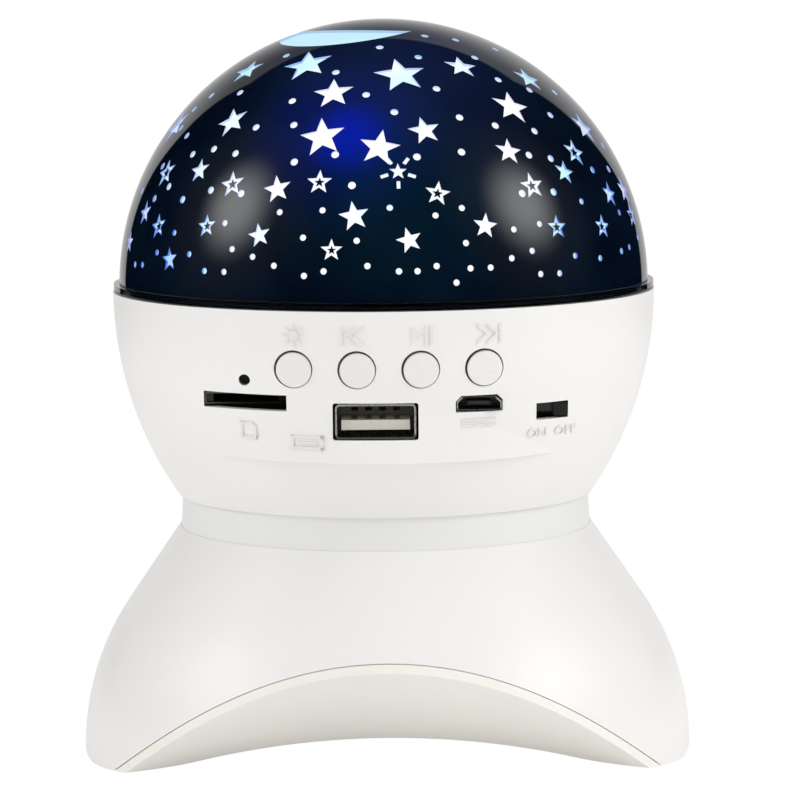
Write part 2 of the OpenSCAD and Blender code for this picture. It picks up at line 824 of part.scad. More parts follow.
// Plate under the dome: rail for the dome's skirt, three hooks over the drive ring,
// pedestal for the lamps, and posts below for the circuit board
module turntable_plate() color(white) {
    difference() {
        union() {
            translate([0, 0, motor_top]) cylinder(r = plate_r, h = plate_t);
            translate([0, 0, plate_z]) ring(skirt_out - 0.1, skirt_in + 0.4, rail_h);
            translate([0, 0, plate_z]) cylinder(r = pedestal_r, h = pedestal_z - plate_z);
            for (turn = [-90, 30, 150]) rotate([0, 0, turn]) translate([hook_in, -hook_w / 2, plate_z]) {
                cube([hook_wall, hook_w, gear_top + turn_gap + hook_t - plate_z]);
                translate([0, 0, gear_top + turn_gap - plate_z]) cube([hook_out - hook_in, hook_w, hook_t]);
            }
            at_each(board_posts, board_top) cylinder(r = boss_r, h = motor_top - board_top + eps);
        }
        translate([0, 0, motor_top - 1]) cylinder(r = pedestal_r - pedestal_wall, h = far);
        translate([0, gear_centre, motor_top - 1]) cylinder(r = shaft_hole_r, h = plate_t + 2);
        at_plate_screws(plate_z + eps) sunk_screw(plate_t + 1, face_gap);
        at_each(board_posts, board_top - 1) cylinder(r = screw_r + screw_play, h = board_screw_len + 1);
    }
}

module plate_screws() color(steel) {
    at_plate_screws(plate_z) sunk_screw(plate_screw_len);
}

module motor_can() color(steel) {
    translate([0, gear_centre, motor_top - motor_len])
        cylinder(r = motor_r - 0.5, h = motor_len - gearbox_h);
}

module motor_gearbox() color(black) {
    translate([0, gear_centre, motor_top - gearbox_h]) difference() {
        cylinder(r = motor_r, h = gearbox_h);
        translate([0, 0, 1]) cylinder(r = shaft_r + screw_play, h = gearbox_h);
    }
}

module motor_shaft() color(steel) {
    translate([0, gear_centre, motor_top - shaft_in])
        cylinder(r = shaft_r, h = gear_top - motor_top + shaft_in);
}

module motor_pinion() color(brass) {
    steps = [for (k = [-1.25, -0.35, 0, 1]) pinion_pitch_r + k * gear_module];
    translate([0, gear_centre, gear_z]) difference() {
        linear_extrude(gear_h) gear_outline(pinion_teeth, pinion_pitch_r, steps, gear_play);
        translate([0, 0, -1]) cylinder(r = shaft_r + eps, h = gear_h + 2);
    }
}

// ---- Lamps ----

module lamp_board() color(board_green) {
    translate([0, 0, pedestal_z]) cylinder(r = lamp_board_r, h = lamp_board_t);
}

// Four round lamps, each with a foot ring, a straight body and a round top
module lamps() color([0.85, 0.9, 1]) {
    body_h = 2.4;
    translate([0, 0, lamp_z]) ring_of(4, lamp_pitch, 45) {
        cylinder(r = lamp_r + 0.4, h = body_h / 4);
        cylinder(r = lamp_r, h = body_h);
        translate([0, 0, body_h]) sphere(lamp_r);
    }
}

// ---- Circuit board with its sockets and switches ----

module main_board() color(board_green) {
    difference() {
        translate([0, 0, board_z]) intersection() {
            cylinder(r = board_r, h = board_t);
            translate([-board_half, -board_r, -1]) cube([2 * board_half, board_r - board_back, board_t + 2]);
        }
        at_each(board_posts, board_z - 1) cylinder(r = screw_r + move_gap, h = board_t + 2);
    }
}

module board_screws() color(steel) {
    at_each(board_posts, board_z) screw(board_screw_len);
}

module board_chips() color(black) {
    for (c = chips)
        translate([c[0] - c[2] / 2, c[1] - c[3] / 2, board_top]) cube([c[2], c[3], chip_h]);
}

// Steel shell with two legs that are soldered to the board above
module usb_shell() color(steel) {
    leg = [0.8, 2.4, board_z - usb_z - usb_h / 2 + eps];
    facing(usb_x, -usb_front, usb_z) translate([0, 0, -usb_depth]) difference() {
        linear_extrude(usb_depth) rounded_rect(usb_w, usb_h, 0.7);
        translate([0, 0, usb_wall]) linear_extrude(usb_depth) rounded_rect(usb_in_w, usb_in_h, 0.4);
    }
    for (sx = [-1, 1])
        translate([usb_x + sx * (usb_w / 2 - 0.5) - leg.x / 2, 4 - usb_front, usb_z + usb_h / 2 - eps])
            cube(leg);
}

// Back block of the large socket, its tongue, and the stubs between its contacts
module usb_tongue() color([0.82, 0.82, 0.76]) {
    w = usb_in_w - 2 * face_gap;
    h = usb_in_h - 2 * face_gap;
    facing(usb_x, -usb_front, usb_z) difference() {
        union() {
            translate([0, 0, usb_wall + face_gap - usb_depth]) linear_extrude(usb_back)
                rounded_rect(w, h, 0.3);
            translate([usb_side_gap - w / 2, usb_under, usb_back - usb_depth])
                cube([w - 2 * usb_side_gap, usb_tongue_t, usb_depth - usb_back - usb_tip]);
        }
        for (i = [-1.5:1.5])
            translate([i * contact_pitch - 0.55, h / 2 - 1.6, usb_back - usb_depth - 1]) cube([1.1, 1, 3]);
    }
}

module usb_contacts() color(brass) {
    facing(usb_x, -usb_front, usb_z) for (i = [-1.5:1.5])
        translate([i * contact_pitch - 0.5, usb_under + usb_tongue_t, usb_back + 1 - usb_depth])
            cube([1, 0.15, 6]);
}

module charge_shell() color(steel) {
    facing(charge_x, -charge_front, charge_z) translate([0, 0, -charge_depth]) difference() {
        linear_extrude(charge_depth) charge_outline(0);
        translate([0, 0, sheet_t]) linear_extrude(charge_depth) charge_outline(-sheet_t);
    }
}

// Back block and tongue of the charging socket
module charge_tongue() color(black) {
    tongue = [charge_w - 3.5, 0.6, charge_depth - charge_back - 0.8];
    facing(charge_x, -charge_front, charge_z) {
        translate([0, 0, sheet_t + face_gap - charge_depth])
            linear_extrude(charge_back) charge_outline(-sheet_t - face_gap);
        translate([-tongue.x / 2, -tongue.y / 2, charge_back - charge_depth]) cube(tongue);
    }
}

// Places its children at the lower left front corner of the memory card socket, set in by inset
module card_corner(inset) {
    translate([card_x - card_shell_w / 2 + inset, card_front_y, card_z - card_shell_h / 2 + inset])
        children();
}

module card_socket() color(steel) {
    difference() {
        card_corner(0) cube([card_shell_w, card_depth, card_shell_h]);
        card_corner(sheet_t) translate([0, -1, 0])
            cube([card_shell_w - 2 * sheet_t, card_depth + 1 - sheet_t, card_shell_h - 2 * sheet_t]);
    }
}

// Moulded back and side rails inside the card socket
module card_insulator() color(black) {
    inset = sheet_t + face_gap;
    w = card_shell_w - 2 * inset;
    back = 3;
    card_corner(inset) translate([0, 0.4, 0]) difference() {
        cube([w, card_depth - 0.4 - inset, card_shell_h - 2 * inset]);
        translate([card_rail, -1, -1]) cube([w - 2 * card_rail, card_depth - back, card_h]);
    }
}

module microphone() color(black) {
    facing(card_x, behind_wall(card_x, board_top + mic_body_r, mic_body_r) + mic_len, board_top + mic_body_r)
        cylinder(r = mic_body_r, h = mic_len);
}

// Y of the plane behind the wall where the flange of the button at x rests
function cap_stop(x) = behind_wall(x, button_z, cap_flange_r + 2 * cap_droop);

// Four switches on the board, each open in front for the stem of its cap
module button_switches() color(black) {
    case_h = button_z - board_top + case_over;
    for (x = button_x) {
        front = cap_stop(x) + cap_flange_t + button_travel + move_gap;
        difference() {
            translate([x - case_w / 2, front, board_top]) cube([case_w, case_depth, case_h]);
            facing(x, front + stem_len, button_z) cylinder(r = stem_r + move_gap, h = stem_len + 1);
        }
    }
}

// Button cap: front shaped like the housing, flange behind the wall, and stem
module button_cap(x) {
    stop = cap_stop(x);
    cap_x = x + cap_droop;
    cap_z = button_z - cap_droop;
    intersection() {
        facing(cap_x, stop, cap_z) cylinder(r = cap_r, h = far);
        rotate_extrude() bowl_outline(-button_proud, button_z - 2 * cap_r, rim_z);
    }
    facing(cap_x, stop, cap_z) {
        translate([0, 0, -cap_flange_t]) cylinder(r = cap_flange_r, h = cap_flange_t + eps);
        translate([0, 0, -cap_flange_t - stem_len]) cylinder(r = stem_r, h = stem_len + eps);
    }
}

module button_light() color(white) button_cap(button_x[0]);
module button_previous() color(white) button_cap(button_x[1]);
module button_play() color(white) button_cap(button_x[2]);
module button_next() color(white) button_cap(button_x[3]);

// Slide switch with a slot for its knob
module switch_body() color(steel) {
    difference() {
        translate([switch_x - switch_case_w / 2, switch_front_y, switch_low])
            cube([switch_case_w, switch_case_d, board_z - switch_low]);
        translate([switch_x - switch_w / 2 - 0.2, switch_front_y - 1, switch_z - knob_h / 2 - socket_gap])
            cube([switch_w + 0.4, switch_case_d - 0.4, knob_h + 2 * socket_gap]);
    }
}

module power_knob() color(black) {
    tip = face_y(knob_x, switch_z, 0) + knob_sink;
    translate([knob_x - knob_w / 2, tip, switch_z - knob_h / 2])
        cube([knob_w, switch_front_y + knob_in - tip, knob_h]);
}

// ---- Battery ----

module battery_cell() color([0.25, 0.45, 0.3]) {
    translate([-cell_len / 2, cell_y, cell_z]) rotate([0, 90, 0]) {
        cylinder(r = cell_r, h = cell_len - 1);
        cylinder(r = cell_r / 3, h = cell_len);
    }
}

module battery_tray() color(black) {
    half_w = cell_r + 1;
    difference() {
        translate([-tray_half, cell_y - half_w, floor_top]) cube([2 * tray_half, 2 * half_w, tray_h]);
        translate([-tray_half - 1, cell_y, cell_z]) rotate([0, 90, 0])
            cylinder(r = cell_r + face_gap, h = 2 * tray_half + 2);
    }
}

// ---- Speaker, facing down through the sound holes ----

module speaker_frame() color(black) {
    translate([0, 0, speaker_z]) ring(speaker_r, roll_at + roll_r - 0.35, speaker_rim_t);
    difference() {
        rotate_extrude() polygon([
            [speaker_r - basket_side - 0.8, speaker_rim_z - 0.2],
            [speaker_r - basket_side, speaker_rim_z - 0.2],
            [speaker_r - basket_side, speaker_rim_z + 1.6],
            [magnet_r + 1, basket_top],
            [throat_r, basket_top],
            [throat_r, basket_top - 1],
            [magnet_r - 0.2, basket_top - 1],
            [speaker_r - basket_side - 0.8, speaker_rim_z + 1.2]
        ]);
        ring_of(4, 0, 45) translate([magnet_r + 1.4, -4, speaker_rim_z + 1.2]) cube([speaker_r, 8, basket_h - 3]);
    }
}

// Magnet with the ring-shaped slot that the coil moves in
module speaker_magnet() color([0.25, 0.25, 0.27]) {
    translate([0, 0, basket_top]) difference() {
        cylinder(r = magnet_r, h = magnet_h);
        translate([0, 0, -1]) ring(throat_r, coil_r - coil_gap, magnet_h - 1);
    }
}

// Half-round rubber roll between the cone and the frame
module speaker_surround() color(black) {
    translate([0, 0, speaker_rim_z]) rotate_extrude() translate([roll_at, 0]) difference() {
        circle(roll_r);
        circle(roll_r - roll_t);
        translate([-roll_r - 1, -2 * roll_r]) square([2 * roll_r + 2, 2 * roll_r]);
    }
}

// Cone with its dust cap and the coil behind it
module speaker_cone() color([0.12, 0.12, 0.13]) {
    low = speaker_rim_z + 0.3;
    high = basket_top - 1 - cone_travel - 0.9;
    coil_top = basket_top + magnet_h / 2;
    rotate_extrude() polygon([
        [cone_r, low],
        [cone_r, low + cone_t],
        [coil_r + coil_t, high + cone_t],
        [coil_r + coil_t, coil_top],
        [coil_r, coil_top],
        [coil_r, high - 1],
        [coil_r * 0.6, high - 2.6],
        [0, high - 3.2],
        [0, high - 3.8],
        [coil_r * 0.7, high - 3.1],
        [coil_r + 0.2, high - 1.4]
    ]);
}

dome_lens();
star_mask();
drive_ring();
turntable_plate();
motor_can();
motor_gearbox();
motor_shaft();
motor_pinion();
lamp_board();
lamps();
upper_housing();
neck_ring();
base_shell();
bottom_cover();
foot_pads();
main_board();
board_chips();
usb_shell();
usb_tongue();
usb_contacts();
charge_shell();
charge_tongue();
card_socket();
card_insulator();
microphone();
button_switches();
switch_body();
power_knob();
button_light();
button_previous();
button_play();
button_next();
battery_cell();
battery_tray();
speaker_frame();
speaker_surround();
speaker_magnet();
speaker_cone();
neck_screws();
plate_screws();
board_screws();
foot_screws();
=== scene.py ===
from math import acos, asin, atan2, cos, pi, radians, sin, sqrt

import bmesh
import bpy
from mathutils import Matrix, Vector
from mathutils.bvhtree import BVHTree


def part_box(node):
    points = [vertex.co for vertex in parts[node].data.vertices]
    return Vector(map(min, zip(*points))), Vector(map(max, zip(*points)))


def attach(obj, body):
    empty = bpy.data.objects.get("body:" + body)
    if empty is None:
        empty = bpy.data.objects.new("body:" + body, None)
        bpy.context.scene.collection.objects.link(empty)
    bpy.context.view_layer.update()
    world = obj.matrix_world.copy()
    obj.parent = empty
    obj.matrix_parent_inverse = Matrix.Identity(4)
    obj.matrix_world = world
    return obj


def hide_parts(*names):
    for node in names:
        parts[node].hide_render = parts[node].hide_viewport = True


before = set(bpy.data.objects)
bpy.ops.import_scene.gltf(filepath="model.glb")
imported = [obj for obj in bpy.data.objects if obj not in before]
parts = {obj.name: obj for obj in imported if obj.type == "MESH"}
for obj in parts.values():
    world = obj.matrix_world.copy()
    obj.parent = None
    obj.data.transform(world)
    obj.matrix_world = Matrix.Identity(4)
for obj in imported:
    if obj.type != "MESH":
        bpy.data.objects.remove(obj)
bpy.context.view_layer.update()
mm = 0.001

# ---- Base shell ----
# The flared, arched base is one injection moulding in warm white ABS with a satin polish.
# Four bosses inside take the screws that come up from the bottom cover.

shell_white = (0.86, 0.845, 0.825)
shell_roughness = 0.36
tone_patches = 28
polish_marks = 420
polish_spread = 0.04
mould_texture = 5200


def add(tree, kind, sockets=None, **settings):
    """Adds a shader node. A socket gets a value, or the output that feeds it."""
    node = tree.nodes.new(kind)
    for name, value in settings.items():
        setattr(node, name, value)
    for name, value in (sockets or {}).items():
        if isinstance(value, bpy.types.NodeSocket):
            tree.links.new(value, node.inputs[name])
        else:
            node.inputs[name].default_value = value
    return node


def blank_material(name):
    """A new material with an output and nothing else."""
    material = bpy.data.materials.new(name)
    material.use_nodes = True
    material.node_tree.nodes.clear()
    output = material.node_tree.nodes.new("ShaderNodeOutputMaterial")
    return material, material.node_tree, output.inputs["Surface"]


def own_place(tree):
    """Place on the piece, in its own coordinates."""
    return add(tree, "ShaderNodeTexCoord").outputs["Object"]


def noise(tree, scale, detail=2.0, stretch=None):
    """Noise laid over the piece, drawn out along an axis by stretch."""
    place = own_place(tree)
    if stretch:
        place = add(tree, "ShaderNodeMapping", {"Vector": place, "Scale": stretch}).outputs[0]
    sockets = {"Vector": place, "Scale": scale, "Detail": detail}
    return add(tree, "ShaderNodeTexNoise", sockets).outputs["Fac"]


def between(tree, share, low, high, low_share=0.3, high_share=0.7):
    """A value that goes from low to high with the share."""
    sockets = {
        "Value": share, "From Min": low_share, "From Max": high_share, "To Min": low, "To Max": high,
    }
    return add(tree, "ShaderNodeMapRange", sockets).outputs[0]


def mix_colours(tree, share, first, second):
    """A colour led over from first to second with the share. Each is three numbers or an output."""
    sockets = {"Factor": share}
    for key, colour in ((6, first), (7, second)):
        sockets[key] = (*colour, 1) if isinstance(colour, tuple) else colour
    return add(tree, "ShaderNodeMix", sockets, data_type="RGBA").outputs[2]


def two_tone(tree, share, first, second, low_share=0.35, high_share=0.65):
    """A colour that goes from first to second while the share goes from low to high."""
    return mix_colours(tree, between(tree, share, 0.0, 1.0, low_share, high_share), first, second)


def texture_bump(tree, height, strength, depth):
    """A bumped normal from a height."""
    sockets = {"Height": height, "Strength": strength, "Distance": depth}
    return add(tree, "ShaderNodeBump", sockets).outputs["Normal"]


def moulded_plastic(name, colour, roughness, shade=0.97, grain=0.12, grain_depth=0.02 * mm):
    """Moulded plastic: a faint change of tone, uneven polish and the fine texture of the mould."""
    material, tree, surface = blank_material(name)
    darker = tuple(c * shade for c in colour)
    polish = noise(tree, polish_marks, 3)
    shader = add(tree, "ShaderNodeBsdfPrincipled", {
        "Base Color": two_tone(tree, noise(tree, tone_patches), darker, colour),
        "Roughness": between(tree, polish, roughness - polish_spread, roughness + polish_spread),
        "Normal": texture_bump(tree, noise(tree, mould_texture, 1), grain, grain_depth),
    })
    tree.links.new(shader.outputs[0], surface)
    return material


def dress(material, *names):
    """Gives CAD nodes their finish."""
    for name in names:
        for slot in parts[name].material_slots:
            slot.material = material


shell_plastic = moulded_plastic("satin_white_shell", shell_white, shell_roughness)
dress(shell_plastic, "base_shell")

# ---- Bottom cover ----
# A saddle-shaped moulding in softer cream plastic closes the base from below.
# Its edge shows as the pale lip along the arch, and its floor has the sound holes.

cover_cream = (0.88, 0.855, 0.80)
cover_roughness = 0.5
cover_plastic = moulded_plastic("cream_cover", cover_cream, cover_roughness, shade=0.96, grain=0.25)
dress(cover_plastic, "bottom_cover")

# ---- Feet ----
# Four black rubber discs are glued into round seats in the corners of the cover.
# Each one hides the head of a steel screw that holds the cover on.

rubber_bloom = 260
rubber_sheen = 900
rubber_pebbles = 3000
pebble_depth = 0.06 * mm
metal_sheen_spread = 0.07
metal_line_depth = 0.01 * mm
foot_black = (0.025, 0.025, 0.026)
zinc = (0.66, 0.66, 0.68)


def soft_rubber(name, colour):
    """Dull black rubber with a dusty bloom and a fine pebbled skin."""
    material, tree, surface = blank_material(name)
    dusty = tuple(c * 2.2 + 0.01 for c in colour)
    shader = add(tree, "ShaderNodeBsdfPrincipled", {
        "Base Color": two_tone(tree, noise(tree, rubber_bloom, 4), colour, dusty, 0.45, 0.75),
        "Roughness": between(tree, noise(tree, rubber_sheen), 0.7, 0.9),
        "Normal": texture_bump(tree, noise(tree, rubber_pebbles, 3), 0.35, pebble_depth),
    })
    tree.links.new(shader.outputs[0], surface)
    return material


def sheet_metal(name, colour, roughness, brushed=(1, 1, 1), marks=1400):
    """Bare or plated metal, with fine lines where it was brushed, drawn or turned."""
    material, tree, surface = blank_material(name)
    lines = noise(tree, marks, 2, brushed)
    darker = tuple(c * 0.86 for c in colour)
    shader = add(tree, "ShaderNodeBsdfPrincipled", {
        "Base Color": two_tone(tree, lines, darker, colour),
        "Metallic": 1.0,
        "Roughness": between(tree, lines, roughness - metal_sheen_spread, roughness + metal_sheen_spread),
        "Normal": texture_bump(tree, lines, 0.15, metal_line_depth),
    })
    tree.links.new(shader.outputs[0], surface)
    return material


foot_rubber = soft_rubber("foot_rubber", foot_black)
screw_steel = sheet_metal("zinc_screw", zinc, 0.32)
dress(foot_rubber, "foot_pads")
dress(screw_steel, "foot_screws", "neck_screws", "board_screws", "plate_screws")

# ---- Speaker ----
# A round speaker faces down over the sound holes: a stamped black frame, a rubber roll,
# a pressed paper cone with its dust cap, and a coated ferrite magnet.

frame_black = (0.022, 0.022, 0.024)
roll_black = (0.018, 0.018, 0.019)
magnet_grey = (0.10, 0.10, 0.11)
pulp_grey = (0.05, 0.05, 0.052)
pulp_fibres = 1800
fibre_depth = 0.05 * mm

black_moulding = moulded_plastic("black_moulding", frame_black, 0.42, shade=0.8, grain=0.2)
roll_rubber = soft_rubber("roll_rubber", roll_black)
magnet_coat = sheet_metal("magnet_coat", magnet_grey, 0.55)


def pressed_paper(name, colour):
    """Dark pulp with short fibres lying every way."""
    material, tree, surface = blank_material(name)
    fibres = noise(tree, pulp_fibres, 5, (1, 3, 1))
    paler = tuple(c * 1.8 for c in colour)
    shader = add(tree, "ShaderNodeBsdfPrincipled", {
        "Base Color": two_tone(tree, fibres, colour, paler, 0.4, 0.8),
        "Roughness": 0.85,
        "Normal": texture_bump(tree, fibres, 0.4, fibre_depth),
    })
    tree.links.new(shader.outputs[0], surface)
    return material


cone_paper = pressed_paper("cone_paper", pulp_grey)
dress(black_moulding, "speaker_frame", "battery_tray", "motor_gearbox")
dress(roll_rubber, "speaker_surround")
dress(magnet_coat, "speaker_magnet")
dress(cone_paper, "speaker_cone")

# ---- Neck ring ----
# A short white ring joins base and housing. Four screws hold it to the deck of the base,
# and it is moulded from the same plastic. Its colour is painted a shade greyer, as painted shade under the
# bowl's overhang.

ring_shaded_white = (0.80, 0.795, 0.78)
ring_roughness = 0.4
ring_plastic = moulded_plastic("neck_white", ring_shaded_white, ring_roughness)
dress(ring_plastic, "neck_ring")

# ---- Housing ----
# The bowl is one white moulding with a flat-fronted socket panel above a small ledge.
# The signs stand a quarter of a millimetre proud and rougher, and their colour is painted a shade greyer
# than the wall, as painted shade along the strokes.

housing_plastic = moulded_plastic("satin_white_bowl", shell_white, shell_roughness)
dress(housing_plastic, "upper_housing")

# Painted shade: the signs' grey stands for the shade along their raised strokes.
sign_shaded_grey = (0.79, 0.775, 0.755)
sign_roughness = 0.55
sign_height = 0.28 * mm
sign_root = 0.12 * mm
sign_step = 0.8 * mm
sign_stroke = 0.45 * mm
ray_lead = 10 * mm
sign_plastic = moulded_plastic("sign_shaded_grey", sign_shaded_grey, sign_roughness)
housing_mesh = bmesh.new()
housing_mesh.from_mesh(parts["upper_housing"].data)
housing_faces = BVHTree.FromBMesh(housing_mesh)
housing_mesh.free()
in_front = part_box("upper_housing")[0].y - ray_lead


def panel_y(x, z):
    """Y of the housing's outer face straight ahead of x, z."""
    hit = housing_faces.ray_cast(Vector((x, in_front, z)), Vector((0, 1, 0)))[0]
    return hit.y if hit else None


def stroke(x0, z0, x1, z1, width=sign_stroke):
    """Outline of a straight bar between two points."""
    along = Vector((x1 - x0, z1 - z0)).normalized() * width / 2
    side = Vector((-along.y, along.x))
    a = Vector((x0, z0)) - along
    b = Vector((x1, z1)) + along
    return [a + side, a - side, b - side, b + side]


def disc(x, z, r, count=20):
    """Outline of a round spot."""
    turns = [i * 2 * pi / count for i in range(count)]
    return [Vector((x + r * cos(turn), z + r * sin(turn))) for turn in turns]


def raised_sign(name, outlines, x, z):
    """Raises flat outlines, drawn round their own centre, out of the housing at x, z."""
    shape = bmesh.new()
    for outline in outlines:
        shape.faces.new([shape.verts.new((p[0] + x, 0, p[1] + z)) for p in outline])
    left = min(v.co.x for v in shape.verts)
    right = max(v.co.x for v in shape.verts)
    for cut in range(1, int((right - left) / sign_step) + 1):
        everything = shape.verts[:] + shape.edges[:] + shape.faces[:]
        place = (left + cut * sign_step, 0, 0)
        bmesh.ops.bisect_plane(shape, geom=everything, plane_co=place, plane_no=(1, 0, 0))
    front = shape.verts[:]
    raised = bmesh.ops.extrude_face_region(shape, geom=shape.faces[:])["geom"]
    back = [v for v in raised if isinstance(v, bmesh.types.BMVert)]
    for group, lift in ((front, -sign_height), (back, sign_root)):
        for v in group:
            v.co.y = panel_y(v.co.x, v.co.z) + lift
    bmesh.ops.recalc_face_normals(shape, faces=shape.faces[:])
    mesh = bpy.data.meshes.new(name)
    shape.to_mesh(mesh)
    shape.free()
    mesh.materials.append(sign_plastic)
    sign = bpy.data.objects.new(name, mesh)
    bpy.context.scene.collection.objects.link(sign)
    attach(sign, "housing")


button_names = ["button_light", "button_previous", "button_play", "button_next"]
button_centres = [(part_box(name)[0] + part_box(name)[1]) / 2 for name in button_names]
sign_lift = 5.7 * mm
sign_z = button_centres[0].z + sign_lift
half = 1.35 * mm
chevron = 1.5 * mm
stop_bar = 2.6 * mm
chevron_tips = (2.1 * mm, 0.5 * mm)
play_back, play_tip = -1.5 * mm, 0.3 * mm
pause_bars = (0.9 * mm, 1.7 * mm)
sun_r = 0.8 * mm
sun_rays = 8
ray_start = 1.15 * mm
ray_end = 1.7 * mm
ray_stroke = 0.32 * mm

sun = [disc(0, 0, sun_r)]
for ray in range(sun_rays):
    turn = ray * 2 * pi / sun_rays
    start = (ray_start * cos(turn), ray_start * sin(turn))
    end = (ray_end * cos(turn), ray_end * sin(turn))
    sun.append(stroke(*start, *end, ray_stroke))
raised_sign("sign_light", sun, button_centres[0].x, sign_z)


def chevrons(side):
    """Two chevrons pointing to one side, with the bar that they run up against."""
    marks = [stroke(side * stop_bar, -half, side * stop_bar, half)]
    for tip in (side * reach for reach in chevron_tips):
        foot = tip - side * chevron
        marks.append(stroke(foot, half, tip, 0))
        marks.append(stroke(foot, -half, tip, 0))
    return marks


raised_sign("sign_previous", chevrons(-1), button_centres[1].x, sign_z)
play = [[(play_back, -half), (play_tip, 0), (play_back, half)]]
play += [stroke(x, -half, x, half) for x in pause_bars]
raised_sign("sign_play", play, button_centres[2].x, sign_z)
raised_sign("sign_next", chevrons(1), button_centres[3].x, sign_z)

# Bars in millimetres, each from its first x, z to its last x, z
card_bars = [
    (-1.1, -1.2, -1.1, 1.2), (-1.1, 1.2, 0.6, 1.2), (0.6, 1.2, 1.1, 0.6),
    (1.1, 0.6, 1.1, -1.2), (1.1, -1.2, -1.1, -1.2),
]
port_bars = [
    (-2.4, -0.9, 2.4, -0.9), (-2.4, 0.9, 2.4, 0.9), (-2.4, -0.9, -2.4, 0.9),
    (2.4, -0.9, 2.4, 0.9), (-1.4, -0.1, 1.4, -0.1),
]
supply_bars = [
    (-2.6, 0.45, 2.6, 0.45), (-2.6, -0.45, -1.3, -0.45),
    (-0.65, -0.45, 0.65, -0.45), (1.3, -0.45, 2.6, -0.45),
]
supply_stroke = 0.38 * mm
card_sign_in, card_sign_drop = 7.2 * mm, 3.9 * mm
port_sign_out, port_sign_drop = 4.6 * mm, 0.7 * mm
small_sign_drop = 2 * mm


def bars(rows, width=sign_stroke):
    """Outlines of bars that are listed in millimetres."""
    return [stroke(*(value * mm for value in row), width) for row in rows]


card_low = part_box("card_socket")[0]
raised_sign("sign_card", bars(card_bars), card_low.x + card_sign_in, card_low.z - card_sign_drop)
usb_low, usb_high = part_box("usb_shell")
raised_sign("sign_port", bars(port_bars), usb_low.x - port_sign_out, usb_low.z - port_sign_drop)
charge_low, charge_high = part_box("charge_shell")
charge_middle = (charge_low.x + charge_high.x) / 2
raised_sign("sign_supply", bars(supply_bars, supply_stroke), charge_middle, charge_low.z - small_sign_drop)

word_height = 1.5 * mm
capital_share = 0.7


def word_outlines(word):
    """Flat outlines of a word, centred on its own middle."""
    text = bpy.data.curves.new("word", "FONT")
    text.body = word
    text.size = word_height / capital_share
    text.align_x = "CENTER"
    text.align_y = "CENTER"
    text.resolution_u = 3
    holder = bpy.data.objects.new("word", text)
    bpy.context.scene.collection.objects.link(holder)
    bpy.context.view_layer.update()
    mesh = bpy.data.meshes.new_from_object(holder)
    outlines = [[tuple(mesh.vertices[i].co.xy) for i in face.vertices] for face in mesh.polygons]
    bpy.data.objects.remove(holder)
    bpy.data.meshes.remove(mesh)
    return outlines


switch_low, switch_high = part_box("switch_body")
switch_middle = (switch_low.x + switch_high.x) / 2
raised_sign("sign_switch", word_outlines("ON  OFF"), switch_middle, switch_low.z - small_sign_drop)

# ---- Circuit board and sockets ----
# A green glass-fibre board hangs under the turntable plate with all the sockets on it.
# Shells are folded from nickel-plated sheet, and contacts are stamped from brass.

mask_green = (0.02, 0.12, 0.05)
track_grid = 260.0
nickel = (0.72, 0.71, 0.69)
nickel_roughness = 0.28
# Painted shade: the socket shells darken towards their top and bottom edges.
shell_shade_nickel = (0.16, 0.155, 0.15)
shade_starts, shade_ends = 0.72, 0.86
# Painted shade: the card socket's nickel is painted dark for the shade inside its slot.
card_shade_nickel = (0.24, 0.235, 0.23)
brass = (0.72, 0.52, 0.24)
tongue_cream = (0.62, 0.61, 0.53)
# Painted shade: the back of the tongue, deep in the socket, is painted black.
tongue_painted_shade = (0.02, 0.02, 0.02)
tongue_shade_depth = 5.2 * mm
# Painted shade: the front of the switch case, seen in its slot, is painted black.
case_painted_shade = (0.012, 0.012, 0.012)
case_grey = (0.45, 0.45, 0.45)
case_front = 1.5 * mm
case_blur = 0.3 * mm


def solder_mask(name, colour):
    """Green solder mask with copper tracks showing through as paler lines."""
    material, tree, surface = blank_material(name)
    cells = add(tree, "ShaderNodeTexBrick", {
        "Vector": own_place(tree), "Scale": track_grid, "Mortar Size": 0.08, "Mortar Smooth": 0.2,
    }, offset=0.37)
    paler = tuple(c * 1.7 for c in colour)
    shader = add(tree, "ShaderNodeBsdfPrincipled", {
        "Base Color": two_tone(tree, cells.outputs["Fac"], colour, paler, 0.1, 0.9),
        "Roughness": between(tree, noise(tree, 300), 0.28, 0.4),
    })
    tree.links.new(shader.outputs[0], surface)
    return material


def own_axis(tree, axis):
    """How far along X, Y or Z the place on the piece lies."""
    return add(tree, "ShaderNodeSeparateXYZ", {0: own_place(tree)}).outputs[axis]


def maths(tree, operation, first, second=0.0):
    """Result of a sum on one or two values."""
    return add(tree, "ShaderNodeMath", {0: first, 1: second}, operation=operation).outputs[0]


def change_colour(material, share, colour):
    """Leads a finished material over to another colour with the share."""
    tree = material.node_tree
    shader = next(node for node in tree.nodes if node.type == "BSDF_PRINCIPLED")
    tone = shader.inputs["Base Color"].links[0].from_socket
    tree.links.new(mix_colours(tree, share, tone, colour), shader.inputs["Base Color"])
    return material


def shaded_shell(name, low, high):
    """Nickel sheet painted darker towards its top and bottom edges, as painted shade; the side edges keep
    the bright nickel.
    """
    material = sheet_metal(name, nickel, nickel_roughness, (1, 0.2, 1))
    tree = material.node_tree
    off_middle = maths(tree, "SUBTRACT", own_axis(tree, "Z"), (low.z + high.z) / 2)
    off_middle = maths(tree, "ABSOLUTE", off_middle)
    reach = (high.z - low.z) / 2
    share = between(tree, off_middle, 0.0, 1.0, reach * shade_starts, reach * shade_ends)
    return change_colour(material, share, shell_shade_nickel)


def shaded_by_depth(name, front, back, edge_y):
    """Moulded plastic that changes colour behind edge_y; one side is painted shade, where the piece lies
    deep in its hole.
    """
    material = moulded_plastic(name, front, 0.45, shade=0.93)
    tree = material.node_tree
    share = between(tree, own_axis(tree, "Y"), 0.0, 1.0, edge_y - case_blur, edge_y + case_blur)
    return change_colour(material, share, back)


